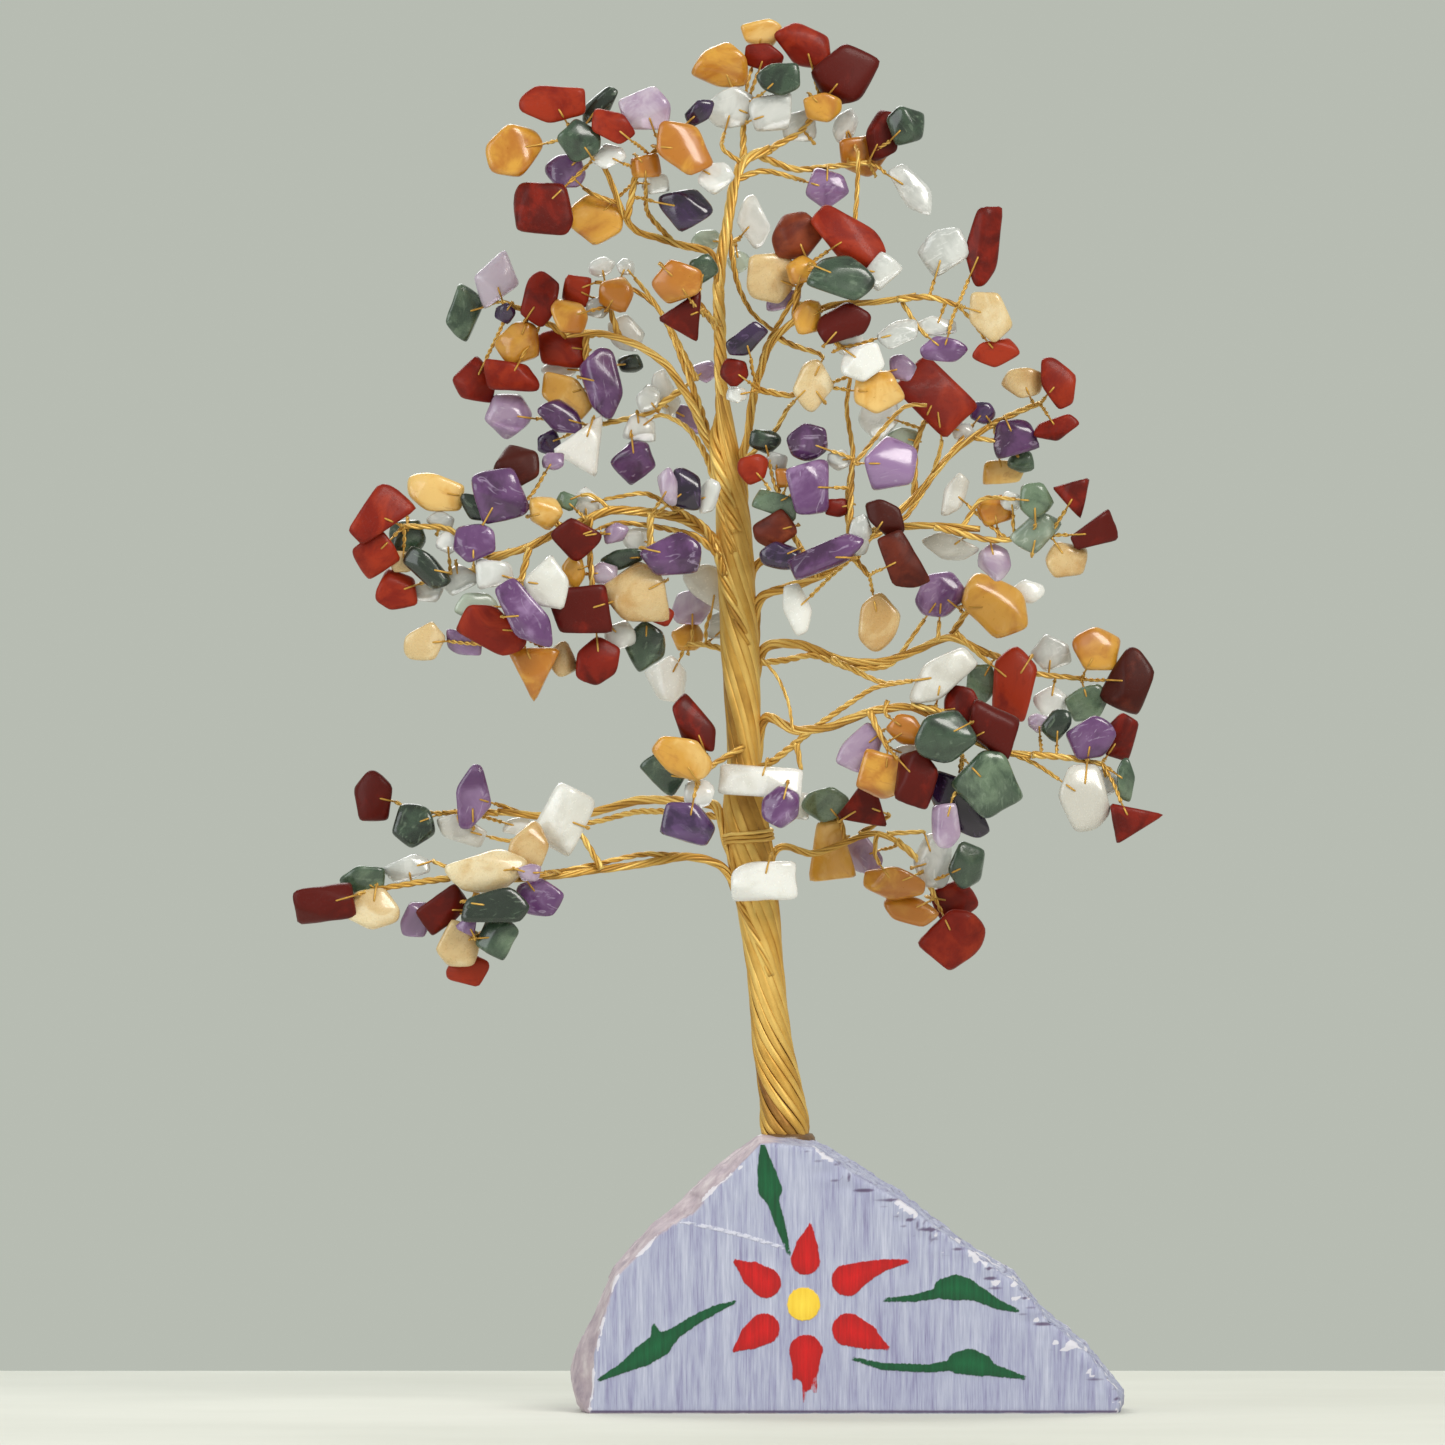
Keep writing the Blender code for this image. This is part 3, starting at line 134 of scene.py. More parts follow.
# Lights: name, place, size (metres), power in watts and colour
LIGHTS = [
    ("key", (0.55, -0.95, 0.95), (0.6, 0.6), 11.5, (1.0, 0.97, 0.92)),
    ("fill", (-0.95, -0.7, 0.45), (0.8, 0.8), 4.5, (0.93, 0.97, 1.0)),
    ("rim", (-0.25, 0.8, 0.8), (0.7, 0.5), 5, (1.0, 1.0, 1.0)),
]

GAP_SHADE_TONE = -0.6              # the tone of the dark cores behind the strands: painted shade in the gaps between wires
TRUNK_TURN = 0.07             # radians for each mm of height, of the limbs' wires on the trunk
SOCKET_DEPTH = 50             # the trunk's lower points are inside the block
DARKENING_HEIGHTS = (100, 62)   # between these heights the trunk darkens towards its foot, and its strands narrow so that more painted shade shows between them

# The turn of the trunk's own strands: height and radians for each mm
TRUNK_TURNS = [(50, 0.16), (75, 0.11), (110, 0.06), (150, 0.07), (210, 0.09)]

# How the trunk's strands end inside the leader's: x, z, radius
MERGING = [(-27.4, 217, 1.5), (-28, 224, 1.0)]

# Wires that leave a limb beside its main bundle: thickness (radius of the twist) and points as x, z, y, mm
SIDE_WIRES = {
    "low_left_upper": [
        (0.9, [(-27.5, 127.8, 1.5), (-38, 128.9, 8), (-46, 129, 12), (-55, 126.5, 14.5), (-67, 125.2, 16),
               (-73, 122, 17), (-78, 119, 18)]),
        (0.6, [(-70, 127.9, 16), (-75, 130, 17), (-80, 132.5, 18)])],
    "low_left_lower": [
        (0.7, [(-36, 119.6, -3), (-45, 120, -7), (-53, 118.2, -10), (-62, 116.4, -13), (-70, 117.5, -15)]),
        (0.55, [(-80, 115, -15), (-90, 118.5, -15), (-95, 120, -15)])],
    "left_middle": [
        (1.0, [(-27, 180, -3.5), (-31, 190.5, -5), (-38, 194.5, -11), (-44, 198, -15), (-51, 200.5, -17)]),
        (0.9, [(-28, 184, -4), (-33, 188.5, -6), (-42, 190.5, -13), (-50, 191.5, -16), (-57, 189.5, -17)]),
        (0.55, [(-52, 194.5, -17), (-56, 198, -18), (-62, 200, -18)])],
    "left_upper": [
        (1.0, [(-29, 205, 3), (-33, 218, 8), (-38, 231, 13), (-41, 237.5, 15), (-46, 241.5, 16),
               (-54, 243.5, 17), (-62, 244.2, 17)]),
        (0.9, [(-28.5, 198, 3), (-31, 206, 6), (-35, 212, 10), (-41, 215, 14), (-47, 214.8, 16)]),
        (0.7, [(-33, 222, 8), (-38, 232, 13), (-43, 240, 15), (-46, 243.5, 15)])],
    "leader": [
        (0.8, [(-28, 232, 1.5), (-32, 238, 2), (-38, 244, 3), (-44, 250, 4)]),
        (0.8, [(-26.5, 256, 2), (-24.5, 243, 2), (-21.5, 236.5, 1), (-15.5, 231.8, 0)]),
        (0.8, [(-24.6, 265, 7), (-19, 267.6, 8), (-12, 265.6, 9), (-5, 262.8, 10)]),
        (0.6, [(-23.6, 269, 9), (-28, 272, 9), (-33, 274, 9)]),
        (0.6, [(0.8, 254, 8), (1.4, 260, 9), (1.7, 266, 10), (1.9, 271, 10), (2, 276, 11)])],
    "top_left": [
        (0.7, [(-38, 251.5, -6), (-44, 258, -10), (-45, 266, -13)]),
        (0.6, [(-50, 260, -16), (-56, 262, -17), (-62, 266, -17)])],
    "right_inner": [
        (0.8, [(-21.5, 214, -4), (-18.4, 229, -9), (-16, 233, -11), (-12, 240, -13), (-11, 248, -14)]),
        (0.8, [(-16.5, 231.5, -12), (-11.5, 229, -14), (-5.5, 227.5, -15), (-3.4, 220, -16)]),
        (0.6, [(-22.5, 205, -3), (-16, 211, -7), (-13.5, 216, -9), (-11.5, 224, -11)]),
        (0.6, [(11, 238.8, -18), (15, 232.5, -18), (20.5, 230, -18)])],
    "right_column": [
        (0.8, [(0, 187, -15), (-0.8, 196, -13), (0.8, 206, -9), (-1, 216, -7), (0.5, 226, -7)]),
        (0.6, [(1, 204, -10), (7, 211.5, -8), (12, 217, -8), (16.5, 216.5, -8)]),
        (0.6, [(24, 190.2, -18), (28, 197, -18), (38, 197.6, -18)])],
    "right_long": [
        (0.8, [(-12, 180, 5), (2, 186.5, 10), (12, 192, 13), (19.5, 203.5, 14.5), (30, 210.5, 15.5)]),
        (0.6, [(18, 202, 15), (20, 208, 14), (19, 213, 14)]),
        (0.6, [(27, 209.5, 16), (34, 208.5, 15), (40, 207, 15)])],
    "right_lower": [
        (0.8, [(-19.5, 161, 2), (-14, 161.5, 4), (-8, 163, 7), (0, 159.5, 10), (9, 160, 13),
               (17, 165, 15)]),
        (0.7, [(23, 167.5, 16), (27, 163.5, 16), (34, 159.5, 16)]),
        (0.55, [(19, 165.5, 15), (20.5, 171, 15)])],
    "low_right": [
        (0.9, [(-20.5, 138, -3), (-17, 139.5, -4.5), (-11.6, 144, -7), (-5.5, 148.8, -10),
               (0, 152.6, -12), (5, 156, -14), (13, 161.5, -16)]),
        (0.8, [(-11.6, 144, -7), (-10.6, 138, -7)]),
        (0.8, [(-4, 162, -7), (1.5, 159.2, -10), (7, 156.6, -13), (14, 155.4, -16)]),
        (0.4, [(-12.4, 146.5, -7), (-13, 152, -6.5), (-15.4, 158, -6), (-19, 162, -4.5)]),
        (0.6, [(8, 153, -16), (7, 150.5, -17), (12, 147, -18)]),
        (0.6, [(34, 142, -20), (40, 139.5, -20), (47, 136.5, -20)])],
    "droop": [
        (0.7, [(2, 124, 13), (9, 128, 14), (12, 133.5, 14)]),
        (0.6, [(8, 124, 14.5), (16, 124.5, 15), (19, 121.5, 15)]),
        (0.6, [(6, 124.5, 14), (5, 119.5, 14), (8, 115.5, 14)])],
}

# Stone kinds, and each kind's colour
RED, RUST, GOLD, CREAM = "red_jasper", "brown_jasper", "golden_aventurine", "cream_jade"
PLUM, LILAC, INK = "amethyst", "pale_amethyst", "dark_amethyst"
CLEAR, MILK, MOSS, MINT = "clear_quartz", "white_quartz", "green_aventurine", "pale_aventurine"


# How each kind looks: its dark, middle and light colours (sRGB), the fineness of its clouds, how much
# one chip differs from the next, its roughness, the strength and colour of its veins, how clear it is,
# how far light spreads inside it, its polish, its pits, and how strongly it reflects
DULL = (0.0, 0.0, 0.05, 0.3, 1.3)
STONE_LOOKS = {
    RED: ([(86, 12, 4), (126, 26, 10), (156, 46, 20)], 0.14, 0.6, 0.44, 0.2, (66, 10, 6), *DULL),
    RUST: ([(68, 18, 10), (100, 36, 20), (134, 60, 32)], 0.14, 0.6, 0.44, 0.2, (50, 16, 10), *DULL),
    GOLD: ([(190, 116, 24), (222, 162, 56), (242, 200, 120)],
           0.11, 0.6, 0.3, 0.3, (176, 98, 16), 0.12, 0.1),
    CREAM: ([(198, 156, 96), (218, 188, 136), (236, 218, 180)],
            0.12, 0.5, 0.28, 0.25, (188, 144, 80), 0.1, 0.15),
    PLUM: ([(68, 32, 74), (106, 64, 116), (156, 122, 168)],
           0.12, 0.45, 0.22, 0.5, (196, 176, 208), 0.15, 0.0),
    LILAC: ([(150, 118, 158), (182, 156, 186), (216, 200, 218)],
            0.12, 0.5, 0.24, 0.3, (232, 226, 238), 0.3, 0.1),
    INK: ([(34, 18, 44), (58, 34, 74), (98, 66, 116)],
          0.14, 0.5, 0.2, 0.3, (134, 108, 152), 0.15, 0.0),
    CLEAR: ([(208, 210, 208), (238, 239, 237), (254, 254, 253)],
            0.16, 0.4, 0.14, 0.7, (255, 255, 255), 0.32, 0.0),
    MILK: ([(206, 202, 194), (226, 224, 218), (244, 243, 240)],
           0.12, 0.5, 0.26, 0.1, (252, 252, 250), 0.12, 0.1),
    MOSS: ([(30, 42, 32), (56, 76, 58), (104, 124, 100)],
           0.15, 0.6, 0.28, 0.4, (134, 152, 130), 0.05, 0.0),
    MINT: ([(96, 118, 98), (140, 156, 138), (188, 200, 184)],
           0.13, 0.4, 0.24, 0.4, (214, 222, 210), 0.25, 0.1),
}

# The flower and the leaves, painted on the block's front: strokes as (x, z, radius), mm
PAINT_STROKES = {
    "scratch": [[(-38, 41.5, 0.3), (-30, 40, 0.4), (-22, 38, 0.45), (-14, 35.5, 0.3)]],
    "green_paint": [
        [(-18.9, 57.6, 0.5), (-18.2, 52.5, 1.9), (-17.3, 48.2, 2.6), (-16.6, 45.4, 1.3), (-14.9, 40, 1.0),
         (-13.2, 34.4, 0.4)],
        [(-24.8, 24, 0.3), (-29, 22.4, 0.9), (-33.3, 20.2, 1.1), (-37.8, 17.2, 1.3), (-41, 14.8, 2.6),
         (-44.6, 12.4, 2.3), (-48.5, 10, 1.2), (-54.4, 7.1, 0.3)],
        [(-42.2, 19, 0.4), (-41.6, 15.5, 1.6)],
        [(7.2, 24.4, 0.4), (13.7, 24.8, 0.8), (18.4, 25.8, 1.1), (20.2, 26.8, 2.3), (22.6, 27.1, 2.8),
         (24.8, 26.8, 2.4), (27.2, 25.8, 1.7), (31.6, 23.5, 1.1), (35.9, 22.1, 0.4)],
        [(0.5, 11.8, 0.4), (7, 10.1, 0.8), (17, 9.7, 0.9), (21.6, 10.4, 1.2), (23.2, 10.9, 2.4),
         (25.6, 11.1, 2.9), (28.2, 10.4, 2.4), (30.4, 9.4, 1.4), (37.4, 7.7, 0.4)]],
    "red_paint": [
        [(-9.7, 33.0, 3.2), (-9.4, 36, 2.4), (-8.6, 40.8, 0.25)],
        [(-18.2, 28.1, 3.3), (-20.8, 29.9, 2.7), (-25.2, 33.0, 0.3)],
        [(-0.6, 28.7, 3.5), (2.6, 30.3, 2.4), (7, 31.9, 1.3), (12, 32.7, 0.5)],
        [(-18.6, 18.2, 3.4), (-21.2, 16.5, 2.7), (-25.2, 13.4, 0.35)],
        [(-0.4, 18.0, 3.6), (3.2, 16.6, 2.8), (8.2, 14.0, 0.4)],
        [(-9.6, 13.4, 3.6), (-9.6, 9.8, 2.8), (-9.2, 5.4, 0.5)],
        [(-11.8, 12, 0.7), (-12.0, 7.4, 0.45)],
        [(-7.8, 11, 0.7), (-7.6, 4.6, 0.35)],
        [(-9.9, 8, 0.6), (-9.9, 2.6, 0.25)]],
    "yellow_paint": [[(-10.1, 23.5, 3.6)]],
}
PAINTS = [
    ("scratch", [(206, 206, 226), (222, 222, 236), (234, 234, 244)]),
    ("green_paint", [(0, 66, 36), (8, 102, 58), (34, 146, 92)]),
    ("red_paint", [(164, 2, 8), (214, 8, 14), (238, 54, 54)]),
    ("yellow_paint", [(240, 196, 50), (252, 220, 74), (255, 236, 140)]),
]

# The trunk's centre line: x, z and radius, mm. It leans left as it rises, swells where limbs leave it.
TRUNK = [
    (-13.6, 37.5, 4.6), (-13.6, 48, 4.6), (-13.7, 57, 4.7), (-13.9, 61, 5.5), (-14.7, 68, 4.8),
    (-17, 80, 4.3), (-18.3, 95, 4.0), (-19.9, 109, 4.6), (-21.5, 119, 5.1), (-22.8, 130, 4.9),
    (-22.8, 140, 3.6), (-23, 150, 3.8), (-23.6, 163, 4.2), (-24.4, 176, 4.1), (-25.1, 190, 3.9),
    (-26, 202, 3.0), (-26.8, 212, 2.0),
]

# Limbs: the body that each hangs from, its root radius, and its centre line as x, z, y. The first point is
# the root, where the wires leave the trunk.
LIMBS = {
    "low_left_upper": ("root", 1.2, [
        (-28.6, 131, 2), (-38, 131.2, 9), (-46, 131.2, 13), (-55, 128.8, 15), (-67, 127.6, 16),
        (-76, 128.6, 16)]),
    "low_left_lower": ("root", 1.05, [
        (-27.3, 117.6, -1), (-35, 119.4, -2.5), (-43, 118.2, -7), (-53.5, 116.8, -11), (-62, 115.2, -14),
        (-75, 114.8, -15), (-86, 115, -15)]),
    "left_middle": ("root", 1.3, [
        (-29.8, 189, -1), (-36, 192, -8), (-43, 193.5, -14), (-52, 194.5, -17), (-61, 190, -18),
        (-69, 186, -18), (-78, 184, -18)]),
    "left_upper": ("root", 1.2, [
        (-31.3, 209, 1.5), (-34, 217, 7), (-39, 225, 12), (-46, 230, 15), (-54, 232.5, 17),
        (-61, 231.5, 17)]),
    "leader": ("root", 1.7, [
        (-27.2, 213, 0), (-28, 222, 0), (-28.3, 240, 0), (-27.4, 250, 0.5), (-26.2, 258, 3), (-25, 265, 7),
        (-23, 270, 11), (-17, 272, 14)]),
    "top_left": ("leader", 1.0, [
        (-29.8, 250, -1.2), (-38, 251.5, -6), (-46, 253.5, -12), (-50, 260, -16), (-53, 268, -17)]),
    "right_inner": ("root", 1.05, [
        (-22.2, 208.5, -2), (-20.5, 220, -7), (-17.5, 230, -12), (-12, 235, -16), (-4, 238.5, -18),
        (6, 238.5, -18), (14, 240, -18)]),
    "right_column": ("root", 1.15, [
        (-19.4, 176, -1.5), (-11, 178, -7), (-3, 181, -12), (0, 187, -15), (6, 190.5, -17),
        (18, 190.5, -18), (28, 190, -18)]),
    "right_long": ("root", 1.05, [
        (-20, 183, 1.5), (-11, 184, 6), (-3, 185.5, 10), (6, 189, 13), (14, 196.5, 15), (21, 205.5, 16),
        (30, 212, 17)]),
    "right_lower": ("root", 1.15, [
        (-18.5, 165, 1.5), (-10, 165, 6), (-2, 161.5, 10), (7, 161, 13), (15, 163.5, 15), (22, 167, 16),
        (30, 163, 17)]),
    "low_right": ("root", 1.15, [
        (-18.4, 150.5, -1), (-12.5, 146, -6), (-5, 147, -11), (4, 151, -15), (13, 152, -18),
        (22, 147, -20), (31, 142.5, -20), (39, 141.5, -20)]),
    "droop": ("root", 1.0, [
        (-15.4, 122, 1.5), (-9, 119.5, 7), (-1, 122, 12), (6, 124.5, 14), (10, 122.5, 15)]),
}

# Sprays: the limb (or the trunk) that each is twisted to, the depth it starts from, its twig as x, z, and
# its stones, listed from the back to the front as kind, x, z, length, width and tilt (degrees from +X
# towards +Z). A seventh value names a stone that isn't oval: "tri" points along its tilt, "drop" is wide
# at that end, and "brick" has square ends.
SPRAYS = {
    "low_left_tip": ("low_left_upper", 16, [(-76, 128.6), (-88, 128.5)], [
        (CLEAR, -71.5, 125.5, 7, 4, 0), (RED, -103, 132, 11, 8, 90), (MOSS, -94.5, 126, 9, 8.5, 60),
        (MILK, -84, 125, 11, 5.5, -20), (PLUM, -81.5, 132, 13.5, 6, 80)]),
    "low_left_white": ("low_left_lower", -12, [(-53.5, 116.8), (-57, 123), (-60, 127)], [
        (MILK, -61.6, 127.6, 13, 9.5, 62, "brick")]),
    "low_left_end": ("low_left_lower", -16, [(-86, 115), (-93, 114), (-102, 112.5)], [
        (CLEAR, -95, 117, 10.5, 5, 12), (MOSS, -104.5, 114.3, 10, 6.5, 15),
        (CREAM, -102.6, 108.2, 11, 8.5, -10), (RED, -113, 109.5, 12, 7.5, 8, "brick")]),
    "low_left_under": ("low_left_lower", -17, [(-70, 115), (-72, 117)], [
        (CREAM, -69.5, 120.8, 12, 8, 55), (CREAM, -78, 116.3, 17, 8.5, 8),
        (PLUM, -66.8, 110.8, 10, 8, -15), (LILAC, -69, 116.2, 5, 4, 0)]),
    "low_left_drop": ("low_left_lower", -19, [(-79, 114.8), (-82, 108), (-81.5, 102)], [
        (LILAC, -93.4, 106, 9, 6.5, 62), (RED, -87.4, 108.2, 10, 6.5, 35, "brick"),
        (RED, -82.3, 95.3, 9, 6, 10), (CREAM, -84, 100.6, 10, 8.5, 80),
        (PLUM, -82, 105, 6, 4.5, 60, "tri"), (MOSS, -76, 102.4, 9, 7, 40),
        (MOSS, -76, 109, 14.5, 6.5, 0)]),
    "left_middle_end": ("left_middle", -18, [(-78, 184), (-87, 190.5), (-96, 190.5)], [
        (CLEAR, -88, 191.5, 6, 4, 0), (MOSS, -95, 188, 8, 7, 30), (CREAM, -96, 183, 6, 4.5, 0),
        (RED, -102, 184.5, 9, 7.5, 20), (RED, -101.5, 193, 13, 8.5, 45, "drop")]),
    "left_middle_crown": ("left_middle", -18, [(-61, 190), (-70, 195.5), (-80, 196.5)], [
        (GOLD, -89, 198, 13, 8, -15), (LILAC, -64, 204.5, 5, 4, 0), (RUST, -71.5, 203, 10, 8, 20),
        (MOSS, -80, 194.6, 8.5, 5, -30), (GOLD, -65.5, 193.5, 7.5, 6.5, 0),
        (PLUM, -75.5, 197, 14, 9, -30)]),
    "left_middle_low": ("left_middle", -17, [(-73, 185.2), (-80, 181), (-86, 180.5)], [
        (CLEAR, -91, 176.5, 7, 4.5, 0), (RED, -97.5, 176.5, 8.5, 8, 0), (CLEAR, -84.3, 179, 8, 6, 20),
        (CLEAR, -86.5, 187, 5, 4, 0), (MOSS, -91, 181.5, 11, 6, -40), (PLUM, -81, 187, 10, 8, 10)]),
    "left_middle_drop": ("left_middle", -20, [(-69, 186), (-71, 178), (-71, 167)], [
        (CREAM, -62, 162, 7.5, 5, 90), (PLUM, -83, 165.5, 9, 5, -20), (CREAM, -91.5, 165.5, 9, 7.5, 40),
        (GOLD, -68, 160.5, 12, 10.5, -90, "tri"), (MINT, -80.5, 173.5, 9, 5.5, 10),
        (CLEAR, -76.5, 180.5, 8, 6, 0), (RED, -77, 168.5, 15, 8, -30), (MILK, -65, 178, 10, 9.5, 0),
        (PLUM, -69.5, 171.5, 17, 7.5, -55)]),
    "left_middle_inner": ("left_middle", -19, [(-56, 192.6), (-56, 184), (-55, 172)], [
        (CLEAR, -49.5, 167, 7, 6, 0), (RED, -54, 161.5, 10.5, 9, 60), (CLEAR, -57, 195.5, 6.5, 5.5, 0),
        (MOSS, -61, 196, 4.5, 3.5, 0), (GOLD, -59.5, 181, 8, 4.5, 90), (LILAC, -53, 180.5, 6, 5, 0),
        (LILAC, -50.5, 189, 6, 4, 30), (RED, -57.5, 172.5, 13, 9.5, 20),
        (RED, -59, 188.3, 10.5, 7, -10)]),
    "left_middle_near": ("left_middle", -17, [(-43, 193.5), (-43, 187), (-43.5, 177)], [
        (RED, -40.5, 171.5, 5, 4.5, 0), (MOSS, -44, 164.8, 9.5, 8.5, 40), (CLEAR, -45.5, 187.5, 7, 6, 0),
        (CLEAR, -30.5, 197, 8, 4, 80), (INK, -35, 198.5, 9.5, 5.5, -70), (LILAC, -39, 199, 8, 4, -80),
        (MOSS, -49, 183.6, 9, 4.5, 10), (CREAM, -45.5, 176, 13, 12, 30),
        (PLUM, -38.5, 184.5, 13, 8.5, 20)]),
    "left_upper_end": ("left_upper", 18, [(-61, 231.5), (-68, 236), (-75, 239)], [
        (MOSS, -83.5, 236.5, 10.5, 7, 65), (RED, -81, 221.5, 9, 8, 30), (LILAC, -76.5, 243.5, 9.5, 8, 20),
        (INK, -74.5, 236.5, 4.5, 4, 0), (GOLD, -71.5, 230, 10, 8.5, 40), (RED, -73, 223, 12, 6, -15),
        (RED, -67, 239.5, 12, 7.5, 80)]),
    "left_upper_crown": ("left_upper", 17, [(-50, 231.5), (-52, 238)], [
        (CLEAR, -53.5, 246.5, 6, 4, 20), (CLEAR, -48.5, 246.5, 4, 3.5, 0), (RED, -59, 241.5, 6.5, 6, 0),
        (CLEAR, -54.5, 237.5, 5, 4.5, 0), (GOLD, -50.5, 240.5, 7.5, 7, 0),
        (GOLD, -60.5, 235.8, 9, 7, -35)]),
    "left_upper_heart": ("left_upper", 19, [(-57, 232.3), (-57, 224), (-56, 218)], [
        (CLEAR, -62.5, 224.5, 8, 4, 10), (MOSS, -47.5, 225.5, 5.5, 4, 0),
        (CLEAR, -48.5, 232, 9, 6.5, -60), (GOLD, -61.5, 219, 13, 7, -40), (RED, -62, 229.3, 11, 8.5, 15),
        (PLUM, -53.5, 221.5, 16, 8.5, -80)]),
    "left_upper_low": ("left_upper", 18, [(-36, 220.2), (-44, 214.5), (-56, 212)], [
        (LILAC, -31.5, 224, 5.5, 4.5, 0), (LILAC, -34.5, 213.5, 7.5, 4.5, -45),
        (CLEAR, -39.8, 219, 10, 5, -70), (INK, -65, 208.5, 5.5, 5, 0), (LILAC, -74, 214.5, 10, 9, -20),
        (PLUM, -62.5, 214, 10, 6, -25), (CLEAR, -45.5, 211.5, 7, 5, 0), (CLEAR, -43.5, 218, 6, 5, 30),
        (PLUM, -46.5, 204.5, 9.5, 8, 30), (MILK, -57.5, 207.5, 13, 10, 60, "tri")]),
    "leader_left": ("leader", -14, [(-28.2, 234), (-33, 237)], [
        (RED, -35.5, 235.5, 10.5, 9, 60, "tri"), (MOSS, -31.5, 246, 6, 5, 0),
        (GOLD, -37, 243, 11, 8.5, 20)]),
    "leader_right": ("leader", 10, [(-27.4, 250), (-24, 252.5)], [
        (MINT, -31, 252, 7, 4.5, 0), (MINT, -24, 247.5, 5, 4.5, 0), (CLEAR, -21, 256, 11, 6, -75)]),
    "top_left_crown": ("leader", 17, [(-23, 270), (-23, 280)], [
        (GOLD, -19, 297, 8.5, 6, 10), (RED, -18.5, 292, 8.5, 5.5, -10), (GOLD, -27.5, 290, 12, 9, -20),
        (CLEAR, -25.5, 281, 11, 8, 30), (CLEAR, -17, 279.5, 9.5, 8, -20),
        (MOSS, -15.5, 287, 9.5, 7, 10)]),
    "top_middle_crown": ("leader", 18, [(-17, 272), (-10, 276), (-6, 282)], [
        (RED, -9.5, 294.5, 13.5, 8, -35), (CLEAR, -10.8, 277, 8, 6, 20),
        (RED, -1, 288, 14, 11.5, 55), (GOLD, -6, 281, 8.5, 6, 10)]),
    "top_right_crown": ("leader", 18, [(-20.5, 270.8), (-12, 267.3), (4, 269)], [
        (CLEAR, -0.8, 277, 8, 5, 70), (GOLD, 2.8, 271.2, 11, 8, 20), (RED, 7, 275, 11, 6.5, 80),
        (MOSS, 12, 277, 9, 7, -60), (CLEAR, 13.5, 263, 13, 6, -50), (PLUM, -5, 263.5, 9.5, 8, 20)]),
    "top_left_outer": ("top_left", -17, [(-53, 268), (-59, 274)], [
        (MOSS, -54, 281, 9.5, 4.5, 50), (PLUM, -61, 266.8, 9, 7.5, 0),
        (GOLD, -72.5, 271.5, 12.5, 10.5, 30), (MOSS, -58, 273.2, 8.5, 8, 30),
        (RED, -63.5, 281.5, 14.5, 8, 0), (RED, -66, 259, 14, 11, -30)]),
    "top_left_inner": ("top_left", -18, [(-48, 256.5), (-46, 267), (-41, 272)], [
        (GOLD, -54.5, 257, 12, 9.5, -20), (INK, -35.5, 259, 11.5, 7.5, -10), (CLEAR, -42, 264, 6, 4.5, 0),
        (INK, -32.5, 279.5, 7.5, 4.5, 40), (CLEAR, -52, 270, 7.5, 5, 20), (CLEAR, -29, 265.5, 7.5, 6, 30),
        (GOLD, -44, 268, 6.5, 5, 0), (LILAC, -43.8, 280, 11, 9, 20), (RED, -51, 276.5, 10, 6, -35),
        (GOLD, -36, 271.5, 14, 9, -40)]),
    "inner_crown": ("right_inner", -18, [(-12, 235), (-11.5, 241), (-9, 247)], [
        (LILAC, -14.5, 239, 8, 4, 20), (CREAM, -17, 244, 11, 9.5, 30), (RUST, -11.5, 253, 11, 9.5, 20),
        (GOLD, -10.5, 245.5, 7, 6, 0), (RED, -0.5, 252.5, 16, 10, -40, "drop"),
        (CLEAR, 6.5, 245, 8.5, 6, 30), (MOSS, -2, 244, 14, 8.5, -10)]),
    "inner_heart": ("right_inner", -20, [(-8, 236.8), (-5, 232), (-2, 229)], [
        (CLEAR, -0.5, 229.8, 7, 4.5, 0), (CLEAR, 10.5, 232, 9, 5, 20), (GOLD, -9, 235.3, 8, 6, 70),
        (MILK, 2.5, 225.8, 10, 7, 30), (RED, -1.5, 234, 12, 7.5, 25)]),
    "inner_low": ("right_inner", -15, [(-20.5, 220), (-13, 218.5), (-7, 220)], [
        (CLEAR, -24.5, 218.8, 4.5, 3.5, 0), (RED, -25, 223.8, 6, 5, 0), (INK, -22.5, 230.5, 10, 5, 35),
        (LILAC, 11, 224.5, 6.5, 5, -40), (CREAM, -8.5, 221, 11, 7.5, 75),
        (GOLD, 5.5, 219.5, 10.5, 8.5, 20)]),
    "right_upper": ("right_inner", -19, [(10, 239.3), (17, 240), (23, 238)], [
        (CLEAR, 20, 250, 10.5, 8.5, 30), (RED, 28.5, 251, 17, 6.5, 85), (CLEAR, 18.5, 233.5, 9, 4, 0),
        (PLUM, 20, 228.5, 10.5, 5.5, 0), (RED, 31.2, 228, 10, 5.5, 10),
        (CREAM, 29.5, 236, 11.5, 8, -60)]),
    "column_high": ("right_column", -16, [(0, 187), (0, 196), (0.5, 205)], [
        (CLEAR, -2.5, 204.8, 5, 4, 0), (RED, -2.8, 194.5, 5.5, 4, 0), (PLUM, -9, 208.5, 9, 7.5, 10),
        (PLUM, -8.5, 199, 12, 8, 80), (PLUM, 8.5, 204, 12, 10, 10)]),
    "column_left": ("right_column", -12, [(-7, 179.5), (-12, 188), (-15, 196)], [
        (CLEAR, -16, 204.5, 5, 4, 0), (MOSS, -18.5, 209, 7, 4.5, 0), (GOLD, -13, 201, 6.5, 4, 0),
        (RED, -21, 203, 7.5, 6, 20), (MOSS, -16, 195.5, 10, 5, -10), (RUST, -16.2, 189.5, 9, 6.5, 10),
        (INK, -15, 184, 9, 6, -10)]),
    "column_low": ("right_column", -18, [(0, 184.5), (4, 180)], [
        (MILK, -11.5, 172.8, 11, 6, -70), (CREAM, 6, 170, 12.5, 9, 90), (CLEAR, 2, 188.5, 9, 5, 80),
